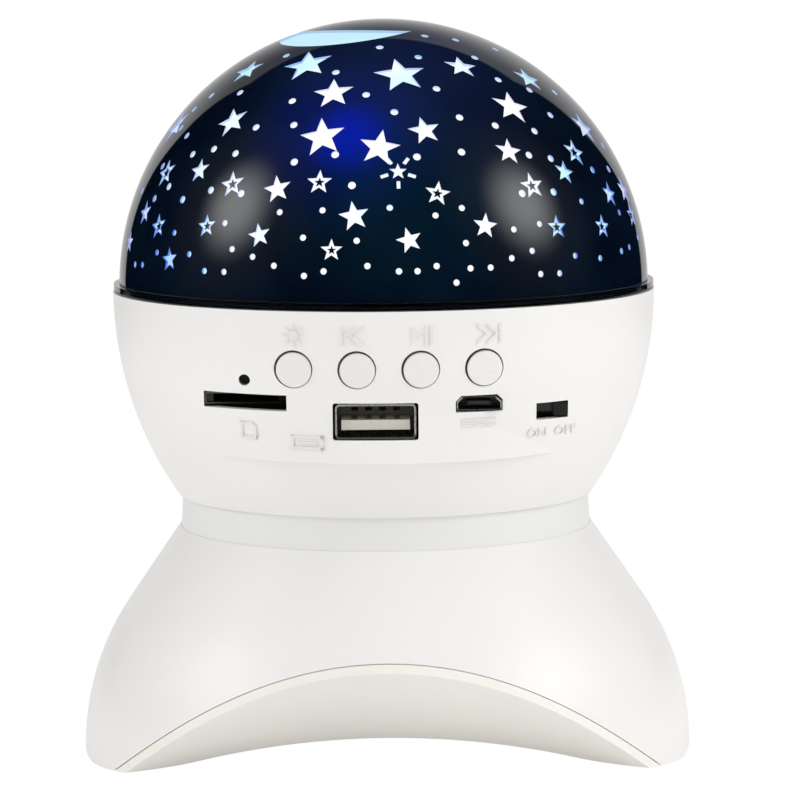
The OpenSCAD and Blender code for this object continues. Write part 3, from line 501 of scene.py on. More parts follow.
board_mask = solder_mask("solder_mask", mask_green)
card_steel = sheet_metal("card_nickel", card_shade_nickel, 0.4, (1, 0.2, 1))
contact_brass = sheet_metal("contact_brass", brass, 0.3)
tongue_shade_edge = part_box("usb_tongue")[1].y - tongue_shade_depth
tongue_plastic = shaded_by_depth("cream_tongue", tongue_cream, tongue_painted_shade, tongue_shade_edge)
switch_case = shaded_by_depth("switch_case", case_painted_shade, case_grey, switch_low.y + case_front)
dress(board_mask, "main_board", "lamp_board")
dress(shaded_shell("usb_nickel", usb_low, usb_high), "usb_shell")
dress(shaded_shell("charge_nickel", charge_low, charge_high), "charge_shell")
dress(card_steel, "card_socket")
dress(contact_brass, "usb_contacts", "motor_pinion")
dress(tongue_plastic, "usb_tongue")
dress(switch_case, "switch_body")
dress(black_moulding, "board_chips", "charge_tongue", "card_insulator", "microphone", "button_switches")

# ---- Buttons and power knob ----
# Four white caps slide in round holes, each polished a little brighter than the bowl.
# The power knob is a black moulding with ridges for a finger nail.

cap_white = (0.815, 0.80, 0.78)
knob_black = (0.008, 0.008, 0.009)
button_roughness = 0.3
cap_edge = 0.45 * mm
cap_plastic = moulded_plastic("cap_white", cap_white, button_roughness, shade=0.99, grain=0.04)


def round_edges(material, radius):
    """Rounds the look of a moulding's edges, under its texture."""
    tree = material.node_tree
    texture = next(node for node in tree.nodes if node.type == "BUMP")
    rounded = add(tree, "ShaderNodeBevel", {"Radius": radius}, samples=6)
    tree.links.new(rounded.outputs[0], texture.inputs["Normal"])


round_edges(cap_plastic, cap_edge)
dress(cap_plastic, *button_names)
knob_plastic = moulded_plastic("knob_black", knob_black, button_roughness, shade=0.8, grain=0.1)
dress(knob_plastic, "power_knob")

# ---- Battery ----
# A single lithium cell in a printed sleeve lies in a black tray across the bowl's floor.
# The sleeve is shrunk over the steel can, and the moulded tray keeps the cell from rolling.

sleeve_green = (0.05, 0.2, 0.1)
sleeve_creases = 240
crease_depth = 0.05 * mm


def shrink_sleeve(name, colour):
    """Thin plastic sleeve shrunk over a can, with faint lengthwise creases."""
    material, tree, surface = blank_material(name)
    creases = noise(tree, sleeve_creases, 3, (0.15, 1, 1))
    darker = tuple(c * 0.75 for c in colour)
    shader = add(tree, "ShaderNodeBsdfPrincipled", {
        "Base Color": two_tone(tree, creases, darker, colour),
        "Roughness": 0.3,
        "Normal": texture_bump(tree, creases, 0.2, crease_depth),
    })
    tree.links.new(shader.outputs[0], surface)
    return material


dress(shrink_sleeve("cell_sleeve", sleeve_green), "battery_cell")

# ---- Turntable drive ----
# The plate under the dome is black, like the ring with inner teeth that turns on its rail.
# The small motor drives the ring through a gearbox and a brass pinion.

drive_black = (0.03, 0.03, 0.034)
motor_grey = (0.6, 0.6, 0.62)
drive_plastic = moulded_plastic("drive_black", drive_black, 0.45, shade=0.85)
motor_steel = sheet_metal("motor_can", motor_grey, 0.34, (1, 1, 0.1))
dress(drive_plastic, "drive_ring", "turntable_plate")
dress(motor_steel, "motor_can", "motor_shaft")

# ---- Lamps ----
# Clear light-emitting diodes on a round board, under the middle of the dome.
# Each is cast in epoxy and soldered to the board, and shines through the windows and the ink.

lamp_blue = (0.25, 0.35, 1.0)
epoxy_tones = ((0.7, 0.78, 0.95), (0.85, 0.9, 1.0))
epoxy_clouds = 700
lamp_epoxy, lamp_tree, lamp_surface = blank_material("lamp_epoxy")
lamp_shader = add(lamp_tree, "ShaderNodeBsdfPrincipled", {
    "Base Color": two_tone(lamp_tree, noise(lamp_tree, epoxy_clouds), *epoxy_tones),
    "Roughness": 0.15,
    "Emission Color": (*lamp_blue, 1),
    "Emission Strength": 2.0,
})
lamp_tree.links.new(lamp_shader.outputs[0], lamp_surface)
dress(lamp_epoxy, "lamps")

# ---- Star mask ----
# A thin shell printed almost black over the clear dome, with cut windows for the stars, the
# dots and the moon. The lamps glow through the ink, and the cut edges catch their light.

mask_low, mask_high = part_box("star_mask")
mask_r = (mask_high.x - mask_low.x) / 2
mask_middle = Vector((0, 0, mask_high.z - mask_r))
mask_t = 0.4 * mm
mask_rings = 72
mask_sides = 288
layout_r = 45.6 * mm
pattern_lean = radians(5)
star_waist = 0.42
cutter_reach = 1.0
ink_navy = (0.0012, 0.0036, 0.0105)
ink_light = (0.002, 0.006, 0.015)
ink_clouds = 90
ink_ripples = 140
ink_ior = 1.5
skin_facing = 0.6
dark_rim = 0.5 * mm
sharp_edge = radians(30)
light_patches = 85
side_share, top_share = 0.62, 0.3
side_reach = (14 * mm, 38 * mm)
top_reach = (20 * mm, 38 * mm)
edge_on = (14 * mm, 20 * mm)
rim_heights = (24 * mm, 36 * mm)
tone_ends = (0.05, 0.95)
second_tone, tone_step = 0.3, 0.2
ink_polish = (0.035, 0.06)
cut_tones = ((0.85, 0.85, 1.0), (0.6, 0.68, 1.0), (0.3, 0.5, 1.0), (0.1, 0.25, 0.9), (0.03, 0.12, 0.6))
cut_rim_tones = ((0.35, 0.42, 0.85), (0.4, 0.6, 0.85))

# Windows in millimetres, on a dome of layout_r seen from the front: right, up, size, turn
star_windows = [
    (-12.4, 36.5, 4.4, 20), (3.1, 34.4, 4.5, 8), (-22.6, 36, 3.2, 20), (13.2, 35.9, 3, -10),
    (24.6, 34.2, 3, -20), (-8, 31.3, 3.5, 8), (21.4, 29, 3.6, -15), (-35, 27, 3.6, 30),
    (-24.9, 27, 3.1, 25), (-9.8, 23.9, 3.9, 10), (6.9, 24.8, 2.8, 10), (34, 26, 3.3, -20),
    (-0.5, 22, 3.5, -10), (20.7, 21.4, 2.5, -10), (-30.3, 18.9, 2.2, 10), (-17.2, 15.4, 2.5, 12),
    (30.1, 18.1, 2.2, -15), (38, 14.6, 2.3, -10), (-4.7, 10.8, 2.6, 10), (-40, 12.2, 2.2, 10),
    (-20.2, 7.9, 2.1, 12), (4.2, 6.8, 2.2, 15), (16.6, 9.1, 2.2, -8), (-35.5, 4.2, 2.1, 5),
    (-43, 7.3, 2, 0), (40.8, 15.4, 2.7, -10),
]
outline_windows = [
    (-36.3, 18.8, 2.6, 15), (-24.7, 16.4, 2.4, 10), (-10.3, 16.4, 2.2, 0), (24.5, 15.7, 2.4, 5),
    (32, 21.5, 2.6, -15), (8.9, 14.4, 2.2, -10), (-37.5, 9.8, 2.2, 10), (-29, 9.6, 2, 5),
    (-8.4, 5.3, 1.9, 0), (28.6, 8.9, 2.1, 0), (36.5, 9.1, 2.1, -5), (42.1, 11.2, 2.3, 0),
]
dot_windows = [
    (7.3, 41.5), (12.5, 40.9), (-0.3, 39.3), (19.3, 39.5), (-16, 38.3), (6.1, 37.5), (15.6, 37.6),
    (-7.6, 34.9), (19.4, 33.7), (9, 31.9), (24.7, 32.1), (-23.7, 32), (29.2, 32), (-2.6, 30.9),
    (-28.8, 31.9), (-14.8, 30.1), (-31.8, 29.7), (2, 27.9), (28.1, 27.8), (12.7, 27), (-14.5, 26),
    (-34, 26.5), (18.6, 25.7), (-20.8, 25.8), (25.2, 24.9), (-32.8, 25), (37.4, 23), (-27.9, 22.4),
    (12.9, 21.2), (-24.2, 21.5), (-31.6, 21.7), (-7.7, 20.9), (24.1, 20.8), (5.6, 20.4), (27.8, 20.3),
    (-14.4, 19.8), (-37, 20), (35.1, 18.6), (38.1, 18.9), (-5, 15.8), (-35.7, 16.4), (-28.3, 15.5),
    (28.1, 14.7), (-40.8, 16), (-38.3, 14.5), (-33.2, 14.1), (32.9, 13.2), (1.1, 12.1), (12.8, 12),
    (-9.8, 11.8), (-16.8, 11.6), (39.7, 11.5), (8.5, 10.8), (-25.9, 10), (25.6, 9.4), (21.3, 8.5),
    (-34.6, 8.6), (-13, 7.4), (43.2, 7.4), (-4.3, 6.8), (13.4, 6.3), (-24.7, 5.7), (41.4, 5.7),
    (24.3, 5), (39.9, 5), (-37.7, 5.4), (-32, 5), (31.6, 4.2), (-21.3, 4.4), (20.9, 3.8), (36, 3.8),
    (-41.8, 3.5), (-40.4, 3.4), (-17.8, 2.9), (-2.6, 2.7), (8.6, 2.6), (14.1, 2.2), (17.4, 2.3),
    (-29.4, 2.2), (-9.7, 1.9), (2.5, 1.8), (5.5, 1.8), (-26.1, 2), (28.9, 1.3), (25.7, 1.2),
    (-12.9, 1.2), (11.8, -0.1), (-23.2, 14.8), (22.8, 14.4),
]
sparkle = (2.5, 18)
sparkle_size = 1.5
ray_count = 5
ray_size = (0.6, 1.3)
ray_distance = 2.35
moon_outer = (-4.9, -8.3, 12.5)
moon_inner = (1.2, -0.9, 15.5)
moon_steps = 48
moon_foot, moon_head = 0.7, 1.1
low_dot_r, high_dot_r = 0.52, 0.64
high_dots = 14
upright = 90


def dome_shell(name, r_out, r_in, low_z, rings, sides):
    """Closed thin dome round the mask's middle, open at the bottom."""
    shape = bmesh.new()

    def bowl(r):
        lowest = asin((low_z - mask_middle.z) / r)
        levels = []
        for i in range(rings):
            up = lowest + (pi / 2 - lowest) * i / rings
            level = []
            for k in range(sides):
                turn = 2 * pi * k / sides
                place = Vector((r * cos(up) * cos(turn), r * cos(up) * sin(turn), r * sin(up)))
                level.append(shape.verts.new(mask_middle + place))
            levels.append(level)
        return levels, shape.verts.new(mask_middle + Vector((0, 0, r)))

    outer, outer_top = bowl(r_out)
    inner, inner_top = bowl(r_in)
    for levels, top in ((outer, outer_top), (inner, inner_top)):
        for low, high in zip(levels, levels[1:]):
            for k in range(sides):
                n = (k + 1) % sides
                shape.faces.new((low[k], low[n], high[n], high[k]))
        for k in range(sides):
            shape.faces.new((levels[-1][k], levels[-1][(k + 1) % sides], top))
    for k in range(sides):
        n = (k + 1) % sides
        shape.faces.new((outer[0][k], inner[0][k], inner[0][n], outer[0][n]))
    bmesh.ops.recalc_face_normals(shape, faces=shape.faces[:])
    mesh = bpy.data.meshes.new(name)
    shape.to_mesh(mesh)
    shape.free()
    mesh.shade_smooth()
    shell = bpy.data.objects.new(name, mesh)
    bpy.context.scene.collection.objects.link(shell)
    return shell


def on_dome(right, up, half_turn=0.0):
    """Turn that stands a flat shape on the dome at a place of the layout."""
    across = sqrt(layout_r ** 2 - (up * mm) ** 2)
    return (
        Matrix.Rotation(half_turn, 3, "Z")
        @ Matrix.Rotation(-pattern_lean, 3, "X")
        @ Matrix.Rotation(asin(right * mm / across), 3, "Z")
        @ Matrix.Rotation(pi / 2 - asin(up * mm / layout_r), 3, "X")
    )


def windows(pattern, r, share=1.0):
    """Place, size and turn of each shape of a pattern, on both halves of a dome of radius r."""
    for half_turn in (0, pi):
        for right, up, size, turn in pattern:
            stand = on_dome(right, up, half_turn) @ Matrix.Rotation(radians(turn), 3, "Z")
            yield mask_middle + stand @ Vector((0, 0, r)), size * mm * share, stand


def prism_tree(name, profile, sockets):
    """Geometry Nodes: a prism of the profile's outline on every point, sized and turned by it."""
    tree = bpy.data.node_groups.new(name, "GeometryNodeTree")
    tree.interface.new_socket("Geometry", in_out="INPUT", socket_type="NodeSocketGeometry")
    keys = {}
    inputs = {"Low": "NodeSocketFloat", "High": "NodeSocketFloat", "Finish": "NodeSocketMaterial"}
    for label, kind in inputs.items():
        keys[label] = tree.interface.new_socket(label, in_out="INPUT", socket_type=kind).identifier
    tree.interface.new_socket("Geometry", in_out="OUTPUT", socket_type="NodeSocketGeometry")
    start = tree.nodes.new("NodeGroupInput")
    end = tree.nodes.new("NodeGroupOutput")
    outline = add(tree, profile, sockets)
    low = add(tree, "ShaderNodeCombineXYZ", {"Z": start.outputs["Low"]})
    high = add(tree, "ShaderNodeCombineXYZ", {"Z": start.outputs["High"]})
    line = add(tree, "GeometryNodeCurvePrimitiveLine", {"Start": low.outputs[0], "End": high.outputs[0]})
    solid = add(tree, "GeometryNodeCurveToMesh", {
        "Curve": line.outputs[0], "Profile Curve": outline.outputs[0], "Fill Caps": True,
    })
    size = add(tree, "GeometryNodeInputNamedAttribute", {"Name": "size"}, data_type="FLOAT")
    turn = add(tree, "GeometryNodeInputNamedAttribute", {"Name": "turn"}, data_type="FLOAT_VECTOR")
    prisms = add(tree, "GeometryNodeInstanceOnPoints", {
        "Points": start.outputs["Geometry"],
        "Instance": solid.outputs[0],
        "Rotation": turn.outputs["Attribute"],
        "Scale": size.outputs["Attribute"],
    })
    real = add(tree, "GeometryNodeRealizeInstances", {0: prisms.outputs[0]})
    finish = add(tree, "GeometryNodeSetMaterial", {
        "Geometry": real.outputs[0], "Material": start.outputs["Finish"],
    })
    tree.links.new(finish.outputs[0], end.inputs[0])
    return tree, keys


def apply_modifiers(piece):
    """Makes what the modifiers show the piece's own plain mesh."""
    made = bpy.data.meshes.new_from_object(piece.evaluated_get(bpy.context.evaluated_depsgraph_get()))
    piece.modifiers.clear()
    piece.data = made


def stand_prisms(name, kind, places, low, high, finish):
    """A prism on each place, from low to high in units of its own size, as one plain mesh."""
    places = list(places)
    points = bpy.data.meshes.new(name)
    points.from_pydata([place for place, _, _ in places], [], [])
    sizes = points.attributes.new("size", "FLOAT", "POINT")
    turns = points.attributes.new("turn", "FLOAT_VECTOR", "POINT")
    for i, (_, size, turn) in enumerate(places):
        sizes.data[i].value = size
        turns.data[i].vector = turn.to_euler()
    holder = bpy.data.objects.new(name, points)
    bpy.context.scene.collection.objects.link(holder)
    tree, keys = kind
    maker = holder.modifiers.new("prisms", "NODES")
    maker.node_group = tree
    maker[keys["Low"]] = low
    maker[keys["High"]] = high
    maker[keys["Finish"]] = finish
    apply_modifiers(holder)
    return holder


def moon_prism():
    """Upright crescent prism between two arcs, seen from above the dome."""
    shape = bmesh.new()
    (ox, oy, outer_r), (ix, iy, inner_r) = moon_outer, moon_inner
    towards = Vector((ix - ox, iy - oy))
    apart = towards.length
    middle = (outer_r ** 2 - inner_r ** 2 + apart ** 2) / (2 * apart)
    to_outer_horn = acos(middle / outer_r)
    to_inner_horn = acos((apart - middle) / inner_r)
    heading = atan2(towards.y, towards.x)
    outline = []
    for i in range(moon_steps + 1):
        a = heading + to_outer_horn + (2 * pi - 2 * to_outer_horn) * i / moon_steps
        outline.append((ox + outer_r * cos(a), oy + outer_r * sin(a)))
    for i in range(1, moon_steps):
        a = heading + pi + to_inner_horn - 2 * to_inner_horn * i / moon_steps
        outline.append((ix + inner_r * cos(a), iy + inner_r * sin(a)))
    lean = Matrix.Rotation(-pattern_lean, 3, "X")
    ends = []
    for z in (mask_r * moon_foot, mask_r * moon_head):
        places = [lean @ Vector((x * mm, y * mm, z)) for x, y in outline]
        ends.append([shape.verts.new(mask_middle + place) for place in places])
    shape.faces.new(ends[0])
    shape.faces.new(ends[1])
    for k in range(len(outline)):
        n = (k + 1) % len(outline)
        shape.faces.new((ends[0][k], ends[0][n], ends[1][n], ends[1][k]))
    bmesh.ops.recalc_face_normals(shape, faces=shape.faces[:])
    mesh = bpy.data.meshes.new("moon")
    shape.to_mesh(mesh)
    shape.free()
    holder = bpy.data.objects.new("moon", mesh)
    bpy.context.scene.collection.objects.link(holder)
    return holder


def vectors(tree, operation, first, second=(0, 0, 0), output="Vector"):
    """Result of a sum on one or two vectors."""
    return add(tree, "ShaderNodeVectorMath", {0: first, 1: second}, operation=operation).outputs[output]


def fade(tree, value, full, gone):
    """1 up to full, falling softly to 0 at gone."""
    sockets = {"Value": value, "From Min": full, "From Max": gone, "To Min": 1.0, "To Max": 0.0}
    return add(tree, "ShaderNodeMapRange", sockets, interpolation_type="SMOOTHERSTEP").outputs[0]


def on_mask(right, up):
    """Point on the mask at a place of the layout."""
    return mask_middle + on_dome(right, up) @ Vector((0, 0, mask_r))


def window_light(tree, tones_out, low_rim, high_rim):
    """Colour of the light behind the windows: white in the middle, cyan and blue to the sides,
    and a paler light on the sides of the dome, where its windows are seen edge on."""
    aside = maths(tree, "ABSOLUTE", own_axis(tree, "X"))
    behind = maths(tree, "ABSOLUTE", own_axis(tree, "Y"))
    height = maths(tree, "SUBTRACT", own_axis(tree, "Z"), mask_middle.z)
    reach = between(tree, aside, 0.0, side_share, *side_reach)
    raised = between(tree, height, 0.0, top_share, *top_reach)
    reach = maths(tree, "MAXIMUM", reach, raised)
    share = maths(tree, "SUBTRACT", noise(tree, light_patches, 1), 0.5)
    ramp = add(tree, "ShaderNodeValToRGB", {0: maths(tree, "ADD", share, reach)})
    tones = ramp.color_ramp.elements
    for end, position, tone in zip(tones, tone_ends, (tones_out[0], tones_out[-1])):
        end.position = position
        end.color = (*tone, 1)
    for i, tone in enumerate(tones_out[1:-1]):
        tones.new(second_tone + tone_step * i).color = (*tone, 1)
    rim = two_tone(tree, height, low_rim, high_rim, *rim_heights)
    at_rim = between(tree, behind, 1.0, 0.0, *edge_on)
    return mix_colours(tree, at_rim, ramp.outputs[0], rim)


# Each spot where the lamps glow through the ink: place, reach and colour
glow_spots = [
    (on_mask(-5.5, 24), 9.5 * mm, (0.0, 0.001, 0.26)),
    (on_mask(-7, 25), 22 * mm, (0.0, 0.003, 0.07)),
    (on_mask(2, 36), 34 * mm, (0.004, 0.007, 0.032)),
    (on_mask(3, 12), 26 * mm, (0.0, 0.005, 0.008)),
]
ink, ink_tree, ink_surface = blank_material("star_ink")
ink_shader = add(ink_tree, "ShaderNodeBsdfDiffuse", {
    "Color": two_tone(ink_tree, noise(ink_tree, ink_clouds, 4), ink_navy, ink_light),
})
glow = (0, 0, 0)
for spot, reach, colour in glow_spots:
    away = vectors(ink_tree, "DISTANCE", own_place(ink_tree), spot, "Value")
    level = fade(ink_tree, away, 0.0, reach)
    tint = add(ink_tree, "ShaderNodeVectorMath", {0: colour, "Scale": level}, operation="SCALE")
    glow = vectors(ink_tree, "ADD", glow, tint.outputs[0])
ink_glow = add(ink_tree, "ShaderNodeEmission", {"Color": glow, "Strength": 1.0})
ink_lit = add(ink_tree, "ShaderNodeAddShader", {0: ink_shader.outputs[0], 1: ink_glow.outputs[0]})
ink_gloss = add(ink_tree, "ShaderNodeBsdfGlossy", {
    "Color": (1, 1, 1, 1),
    "Roughness": between(ink_tree, noise(ink_tree, ink_ripples, 3), *ink_polish),
})
ink_bounce = add(ink_tree, "ShaderNodeFresnel", {"IOR": ink_ior})
ink_front = add(ink_tree, "ShaderNodeMixShader", {
    0: ink_bounce.outputs[0], 1: ink_lit.outputs[0], 2: ink_gloss.outputs[0],
})
cut_light = window_light(ink_tree, cut_tones, *cut_rim_tones)
cut_edge = add(ink_tree, "ShaderNodeEmission", {"Color": cut_light, "Strength": 1.0})
outwards = vectors(ink_tree, "SUBTRACT", own_place(ink_tree), mask_middle)
outwards = vectors(ink_tree, "NORMALIZE", outwards)
facing = add(ink_tree, "ShaderNodeTexCoord").outputs["Normal"]
level = maths(ink_tree, "ABSOLUTE", vectors(ink_tree, "DOT_PRODUCT", outwards, facing, "Value"))
level = maths(ink_tree, "GREATER_THAN", level, skin_facing)
rim = maths(ink_tree, "LESS_THAN", own_axis(ink_tree, "Z"), mask_low.z + dark_rim)
level = maths(ink_tree, "MAXIMUM", level, rim)
ink_all = add(ink_tree, "ShaderNodeMixShader", {0: level, 1: cut_edge.outputs[0], 2: ink_front.outputs[0]})
ink_tree.links.new(ink_all.outputs[0], ink_surface)

star_prism = prism_tree("star_prisms", "GeometryNodeCurveStar", {
    "Points": 5, "Outer Radius": 1.0, "Inner Radius": star_waist, "Twist": 0.0,
})
dot_prism = prism_tree("dot_prisms", "GeometryNodeCurvePrimitiveCircle", {"Resolution": 20, "Radius": 1.0})
ray_prism = prism_tree("ray_prisms", "GeometryNodeCurvePrimitiveQuadrilateral", {
    "Width": ray_size[0], "Height": ray_size[1],
})
cut_r = mask_r - mask_t / 2


def ray_places():
    """The five short rays between the points of the sparkling star."""
    for half_turn in (0, pi):
        stand = on_dome(*sparkle, half_turn)
        for i in range(ray_count):
            turn = stand @ Matrix.Rotation(2 * pi / ray_count * (i + 0.5), 3, "Z")
            yield mask_middle + turn @ Vector((0, ray_distance * mm, cut_r)), mm, turn


pointed = [(*place[:3], place[3] + upright) for place in star_windows + outline_windows]
pointed.append((*sparkle, sparkle_size, upright))
round_dots = [(right, up, high_dot_r if up > high_dots else low_dot_r, 0) for right, up in dot_windows]
cutters = [
    stand_prisms("star_cutters", star_prism, windows(pointed, cut_r), -cutter_reach, cutter_reach, ink),
    stand_prisms("dot_cutters", dot_prism, windows(round_dots, cut_r), -cutter_reach, cutter_reach, ink),
    stand_prisms("ray_cutters", ray_prism, ray_places(), -cutter_reach, cutter_reach, ink),
    moon_prism(),
]
star_skin = dome_shell("star_skin", mask_r, mask_r - mask_t, mask_low.z, mask_rings, mask_sides)
star_skin.data.materials.append(ink)
for cutter in cutters:
    cut = star_skin.modifiers.new("cut", "BOOLEAN")
    cut.operation = "DIFFERENCE"
    cut.solver = "MANIFOLD"
    cut.object = cutter
apply_modifiers(star_skin)
star_skin.data.shade_smooth()
star_skin.data.set_sharp_from_angle(angle=sharp_edge)
for cutter in cutters:
    bpy.data.objects.remove(cutter)
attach(star_skin, "dome")
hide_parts("star_mask")

# ---- Glowing film ----
# A milky diffuser film lies between the mask and the clear dome, so every window shines evenly.
# It is white over the lamps and turns cyan, blue and lavender towards the rim.

film_gap = 0.02 * mm
film_t = 0.06 * mm
film_r = mask_r - mask_t - film_gap
film_rings = 60
film_sides = 240
film_low = mask_low.z + 0.6 * mm
film_strength = 1.05
film_tones = ((1.0, 1.0, 1.0), (0.85, 0.95, 1.0), (0.6, 0.93, 1.0), (0.45, 0.7, 1.0), (0.1, 0.35, 0.9))
film_rim_tones = ((0.66, 0.7, 0.95), (0.55, 0.82, 0.92))

film, film_tree, film_surface = blank_material("glowing_film")
film_light = add(film_tree, "ShaderNodeEmission", {
    "Color": window_light(film_tree, film_tones, *film_rim_tones), "Strength": film_strength,
})
film_tree.links.new(film_light.outputs[0], film_surface)
glowing_film = dome_shell("glowing_film", film_r, film_r - film_t, film_low, film_rings, film_sides)
glowing_film.data.materials.append(film)
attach(glowing_film, "dome")

# ---- Small printed stars ----
# Twelve windows on each half of the mask carry a smaller dark star, printed on the clear dome.
# Each is a thin five-pointed star in the middle of its window and turned with it.

small_share = 0.42
print_high = 0.3
small_stars = [(*place[:3], place[3] + upright) for place in outline_windows]
small_places = windows(small_stars, mask_r - mask_t, small_share)
printed_stars = stand_prisms("printed_stars", star_prism, small_places, 0.0, print_high, ink)
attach(printed_stars, "dome")

# ---- Clear dome ----
# A clear polystyrene dome carries the mask and turns with it on the drive ring.
# Its flange shows as a smoky lip between the mask and the housing's rim.

flange_top = mask_low.z - 0.05 * mm
flange_blur = 0.3 * mm
smoky, clear = (0.1, 0.103, 0.115), (0.98, 0.99, 1.0)
haze_clouds = 140
dome_polish = (0.05, 0.09)
dome_ior = 1.52

clear_plastic, clear_tree, clear_surface = blank_material("clear_dome")
clear_gloss = add(clear_tree, "ShaderNodeBsdfGlossy", {
    "Color": (1, 1, 1, 1),
    "Roughness": between(clear_tree, noise(clear_tree, haze_clouds, 3), *dome_polish),
})
clear_height = own_axis(clear_tree, "Z")
above_flange = between(clear_tree, clear_height, 0.0, 1.0, flange_top, flange_top + flange_blur)
clear_tint = two_tone(clear_tree, above_flange, smoky, clear)
clear_pass = add(clear_tree, "ShaderNodeBsdfTransparent", {"Color": clear_tint})
clear_side = add(clear_tree, "ShaderNodeNewGeometry").outputs["Backfacing"]
clear_ior = between(clear_tree, clear_side, dome_ior, 1 / dome_ior, 0.0, 1.0)
clear_edge = add(clear_tree, "ShaderNodeFresnel", {"IOR": clear_ior})
clear_mix = add(clear_tree, "ShaderNodeMixShader", {
    0: clear_edge.outputs[0], 1: clear_pass.outputs[0], 2: clear_gloss.outputs[0],
})
clear_tree.links.new(clear_mix.outputs[0], clear_surface)
dress(clear_plastic, "dome_lens")

# ---- Studio ----
# White paper sweep, one large soft lamp on each side, a soft one overhead and a weak one in
# front. The world stands for the room: a white card behind the object and two soft boxes.
# Seen in gloss, the paper ends half a metre from the object.

room_level = 0.62
card_edge = (0.655, 0.68)
card_top = (0.9, 0.97)
card_flare = 0.13
card_low_level, card_top_level = 0.72, 0.42
card_shading = (0.25, 0.85)
dim_spot = (-0.12, 0.84, 0.52)
dim_reach = (0.1, 0.5)
dim_level = 0.22
soft_boxes = ((-0.856, -0.217, 0.47), (0.837, -0.265, 0.48))
soft_box_strength = 4.0
soft_box_reach = (0.0, 0.4)
soft_box_halo = 0.12
halo_reach = (0.2, 0.8)

world = bpy.data.worlds.new("studio")
bpy.context.scene.world = world
world.use_nodes = True
room = world.node_tree
room.nodes.clear()
direction = add(room, "ShaderNodeTexCoord").outputs["Generated"]
axes = add(room, "ShaderNodeSeparateXYZ", {0: direction})
ahead = maths(room, "MAXIMUM", axes.outputs["Y"], 0.001)
sideways = maths(room, "DIVIDE", maths(room, "ABSOLUTE", axes.outputs["X"]), ahead)
upwards = maths(room, "DIVIDE", axes.outputs["Z"], ahead)
flare = maths(room, "MULTIPLY", fade(room, upwards, 0.0, 0.5), card_flare)
card_sides = fade(room, maths(room, "ADD", sideways, flare), *card_edge)
card = maths(room, "MULTIPLY", card_sides, fade(room, upwards, *card_top))
card_level = maths(room, "MULTIPLY", fade(room, upwards, *card_shading), card_low_level - card_top_level)
card_level = maths(room, "ADD", card_level, card_top_level)
dimmed = fade(room, vectors(room, "DISTANCE", direction, dim_spot, "Value"), *dim_reach)
card_level = maths(room, "SUBTRACT", card_level, maths(room, "MULTIPLY", dimmed, dim_level))
light = maths(room, "MULTIPLY", card, card_level)
for soft_box in soft_boxes:
    away = vectors(room, "DISTANCE", direction, Vector(soft_box).normalized(), "Value")
    for reach, strength in ((soft_box_reach, soft_box_strength), (halo_reach, soft_box_halo)):
        light = maths(room, "ADD", light, maths(room, "MULTIPLY", fade(room, away, *reach), strength))
seen = add(room, "ShaderNodeLightPath")
gloss_room = add(room, "ShaderNodeBackground", {"Color": (1, 1, 1, 1), "Strength": light})
plain_room = add(room, "ShaderNodeBackground", {"Color": (1, 1, 1, 1), "Strength": room_level})
white_room = add(room, "ShaderNodeBackground", {"Color": (1, 1, 1, 1), "Strength": 1.0})
first_mix = add(room, "ShaderNodeMixShader", {
    0: seen.outputs["Is Glossy Ray"], 1: plain_room.outputs[0], 2: gloss_room.outputs[0],
})
straight = maths(room, "MAXIMUM", seen.outputs["Is Camera Ray"], seen.outputs["Is Transmission Ray"])
last_mix = add(room, "ShaderNodeMixShader", {
    0: straight, 1: first_mix.outputs[0], 2: white_room.outputs[0],
})
add(room, "ShaderNodeOutputWorld", {"Surface": last_mix.outputs[0]})

lamp_target = Vector((0, 0, 0.06))


def soft_lamp(name, place, size, power):
    """A square soft lamp that points at the middle of the object and leaves no mark in gloss."""
    lamp = bpy.data.lights.new(name, "AREA")
    lamp.size = size
    lamp.energy = power
    holder = bpy.data.objects.new(name, lamp)
    holder.location = place
    holder.rotation_euler = (lamp_target - Vector(place)).to_track_quat("-Z", "Y").to_euler()
    holder.visible_glossy = False
    bpy.context.scene.collection.objects.link(holder)


soft_lamp("left_lamp", (-0.7, -0.25, 0.45), 0.5, 1.65)
soft_lamp("right_lamp", (0.7, -0.25, 0.45), 0.5, 2.5)
soft_lamp("top_lamp", (0, 0.1, 0.9), 0.6, 1.3)
soft_lamp("front_lamp", (0, -0.9, 0.1), 0.4, 1.05)

floor_half = 1.5
mirrored_floor = 0.5
paper_tones = ((0.86, 0.86, 0.86), (0.9, 0.9, 0.9))
paper_grain = 40
paper_shine = 0.28

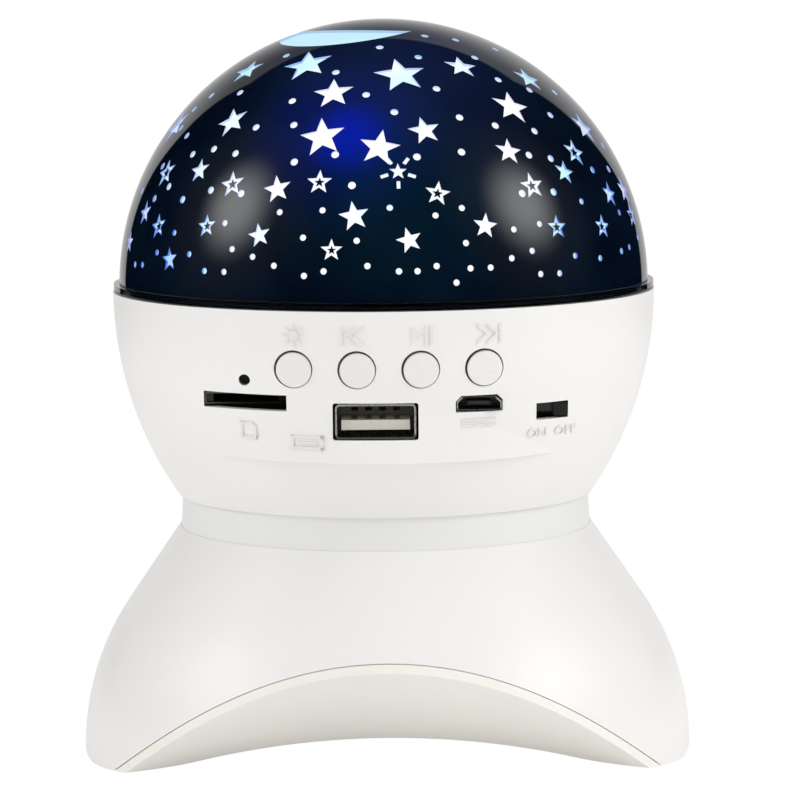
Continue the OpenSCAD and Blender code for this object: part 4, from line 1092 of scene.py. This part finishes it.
paper, paper_tree, paper_surface = blank_material("white_paper")
paper_look = add(paper_tree, "ShaderNodeBsdfDiffuse", {
    "Color": two_tone(paper_tree, noise(paper_tree, paper_grain, 3), *paper_tones),
})
paper_glow = add(paper_tree, "ShaderNodeEmission", {"Color": (1, 1, 1, 1), "Strength": 1.0})
paper_seen = add(paper_tree, "ShaderNodeLightPath")
paper_mix = add(paper_tree, "ShaderNodeMixShader", {
    0: maths(paper_tree, "MAXIMUM", paper_seen.outputs["Is Camera Ray"], paper_shine),
    1: paper_look.outputs[0],
    2: paper_glow.outputs[0],
})
paper_open = add(paper_tree, "ShaderNodeBsdfTransparent")
paper_below = add(paper_tree, "ShaderNodeNewGeometry").outputs["Backfacing"]
paper_far = vectors(paper_tree, "LENGTH", own_place(paper_tree), output="Value")
paper_far = maths(paper_tree, "GREATER_THAN", paper_far, mirrored_floor)
paper_far = maths(paper_tree, "MULTIPLY", paper_far, paper_seen.outputs["Is Glossy Ray"])
paper_last = add(paper_tree, "ShaderNodeMixShader", {
    0: maths(paper_tree, "MAXIMUM", paper_below, paper_far),
    1: paper_mix.outputs[0],
    2: paper_open.outputs[0],
})
paper_tree.links.new(paper_last.outputs[0], paper_surface)
corners = [(x * floor_half, y * floor_half, 0) for x, y in ((-1, -1), (1, -1), (1, 1), (-1, 1))]
sweep_mesh = bpy.data.meshes.new("paper_sweep")
sweep_mesh.from_pydata(corners, [], [(0, 1, 2, 3)])
sweep_mesh.materials.append(paper)
sweep = bpy.data.objects.new("paper_sweep", sweep_mesh)
bpy.context.scene.collection.objects.link(sweep)

camera_place = (0, -677.4 * mm, 138.9 * mm)
camera_down = radians(6.546)
camera_roll = radians(-0.482)
camera_right = radians(0.225)
image_width = 800
focal_pixels = 3930
lens = bpy.data.cameras.new("camera")
lens.lens = focal_pixels / image_width * lens.sensor_width
camera = bpy.data.objects.new("camera", lens)
camera.matrix_world = (
    Matrix.Translation(camera_place)
    @ Matrix.Rotation(-camera_right, 4, "Z")
    @ Matrix.Rotation(pi / 2 - camera_down, 4, "X")
    @ Matrix.Rotation(camera_roll, 4, "Z")
)
bpy.context.scene.collection.objects.link(camera)
bpy.context.scene.camera = camera
bpy.context.scene.view_settings.view_transform = "Standard"
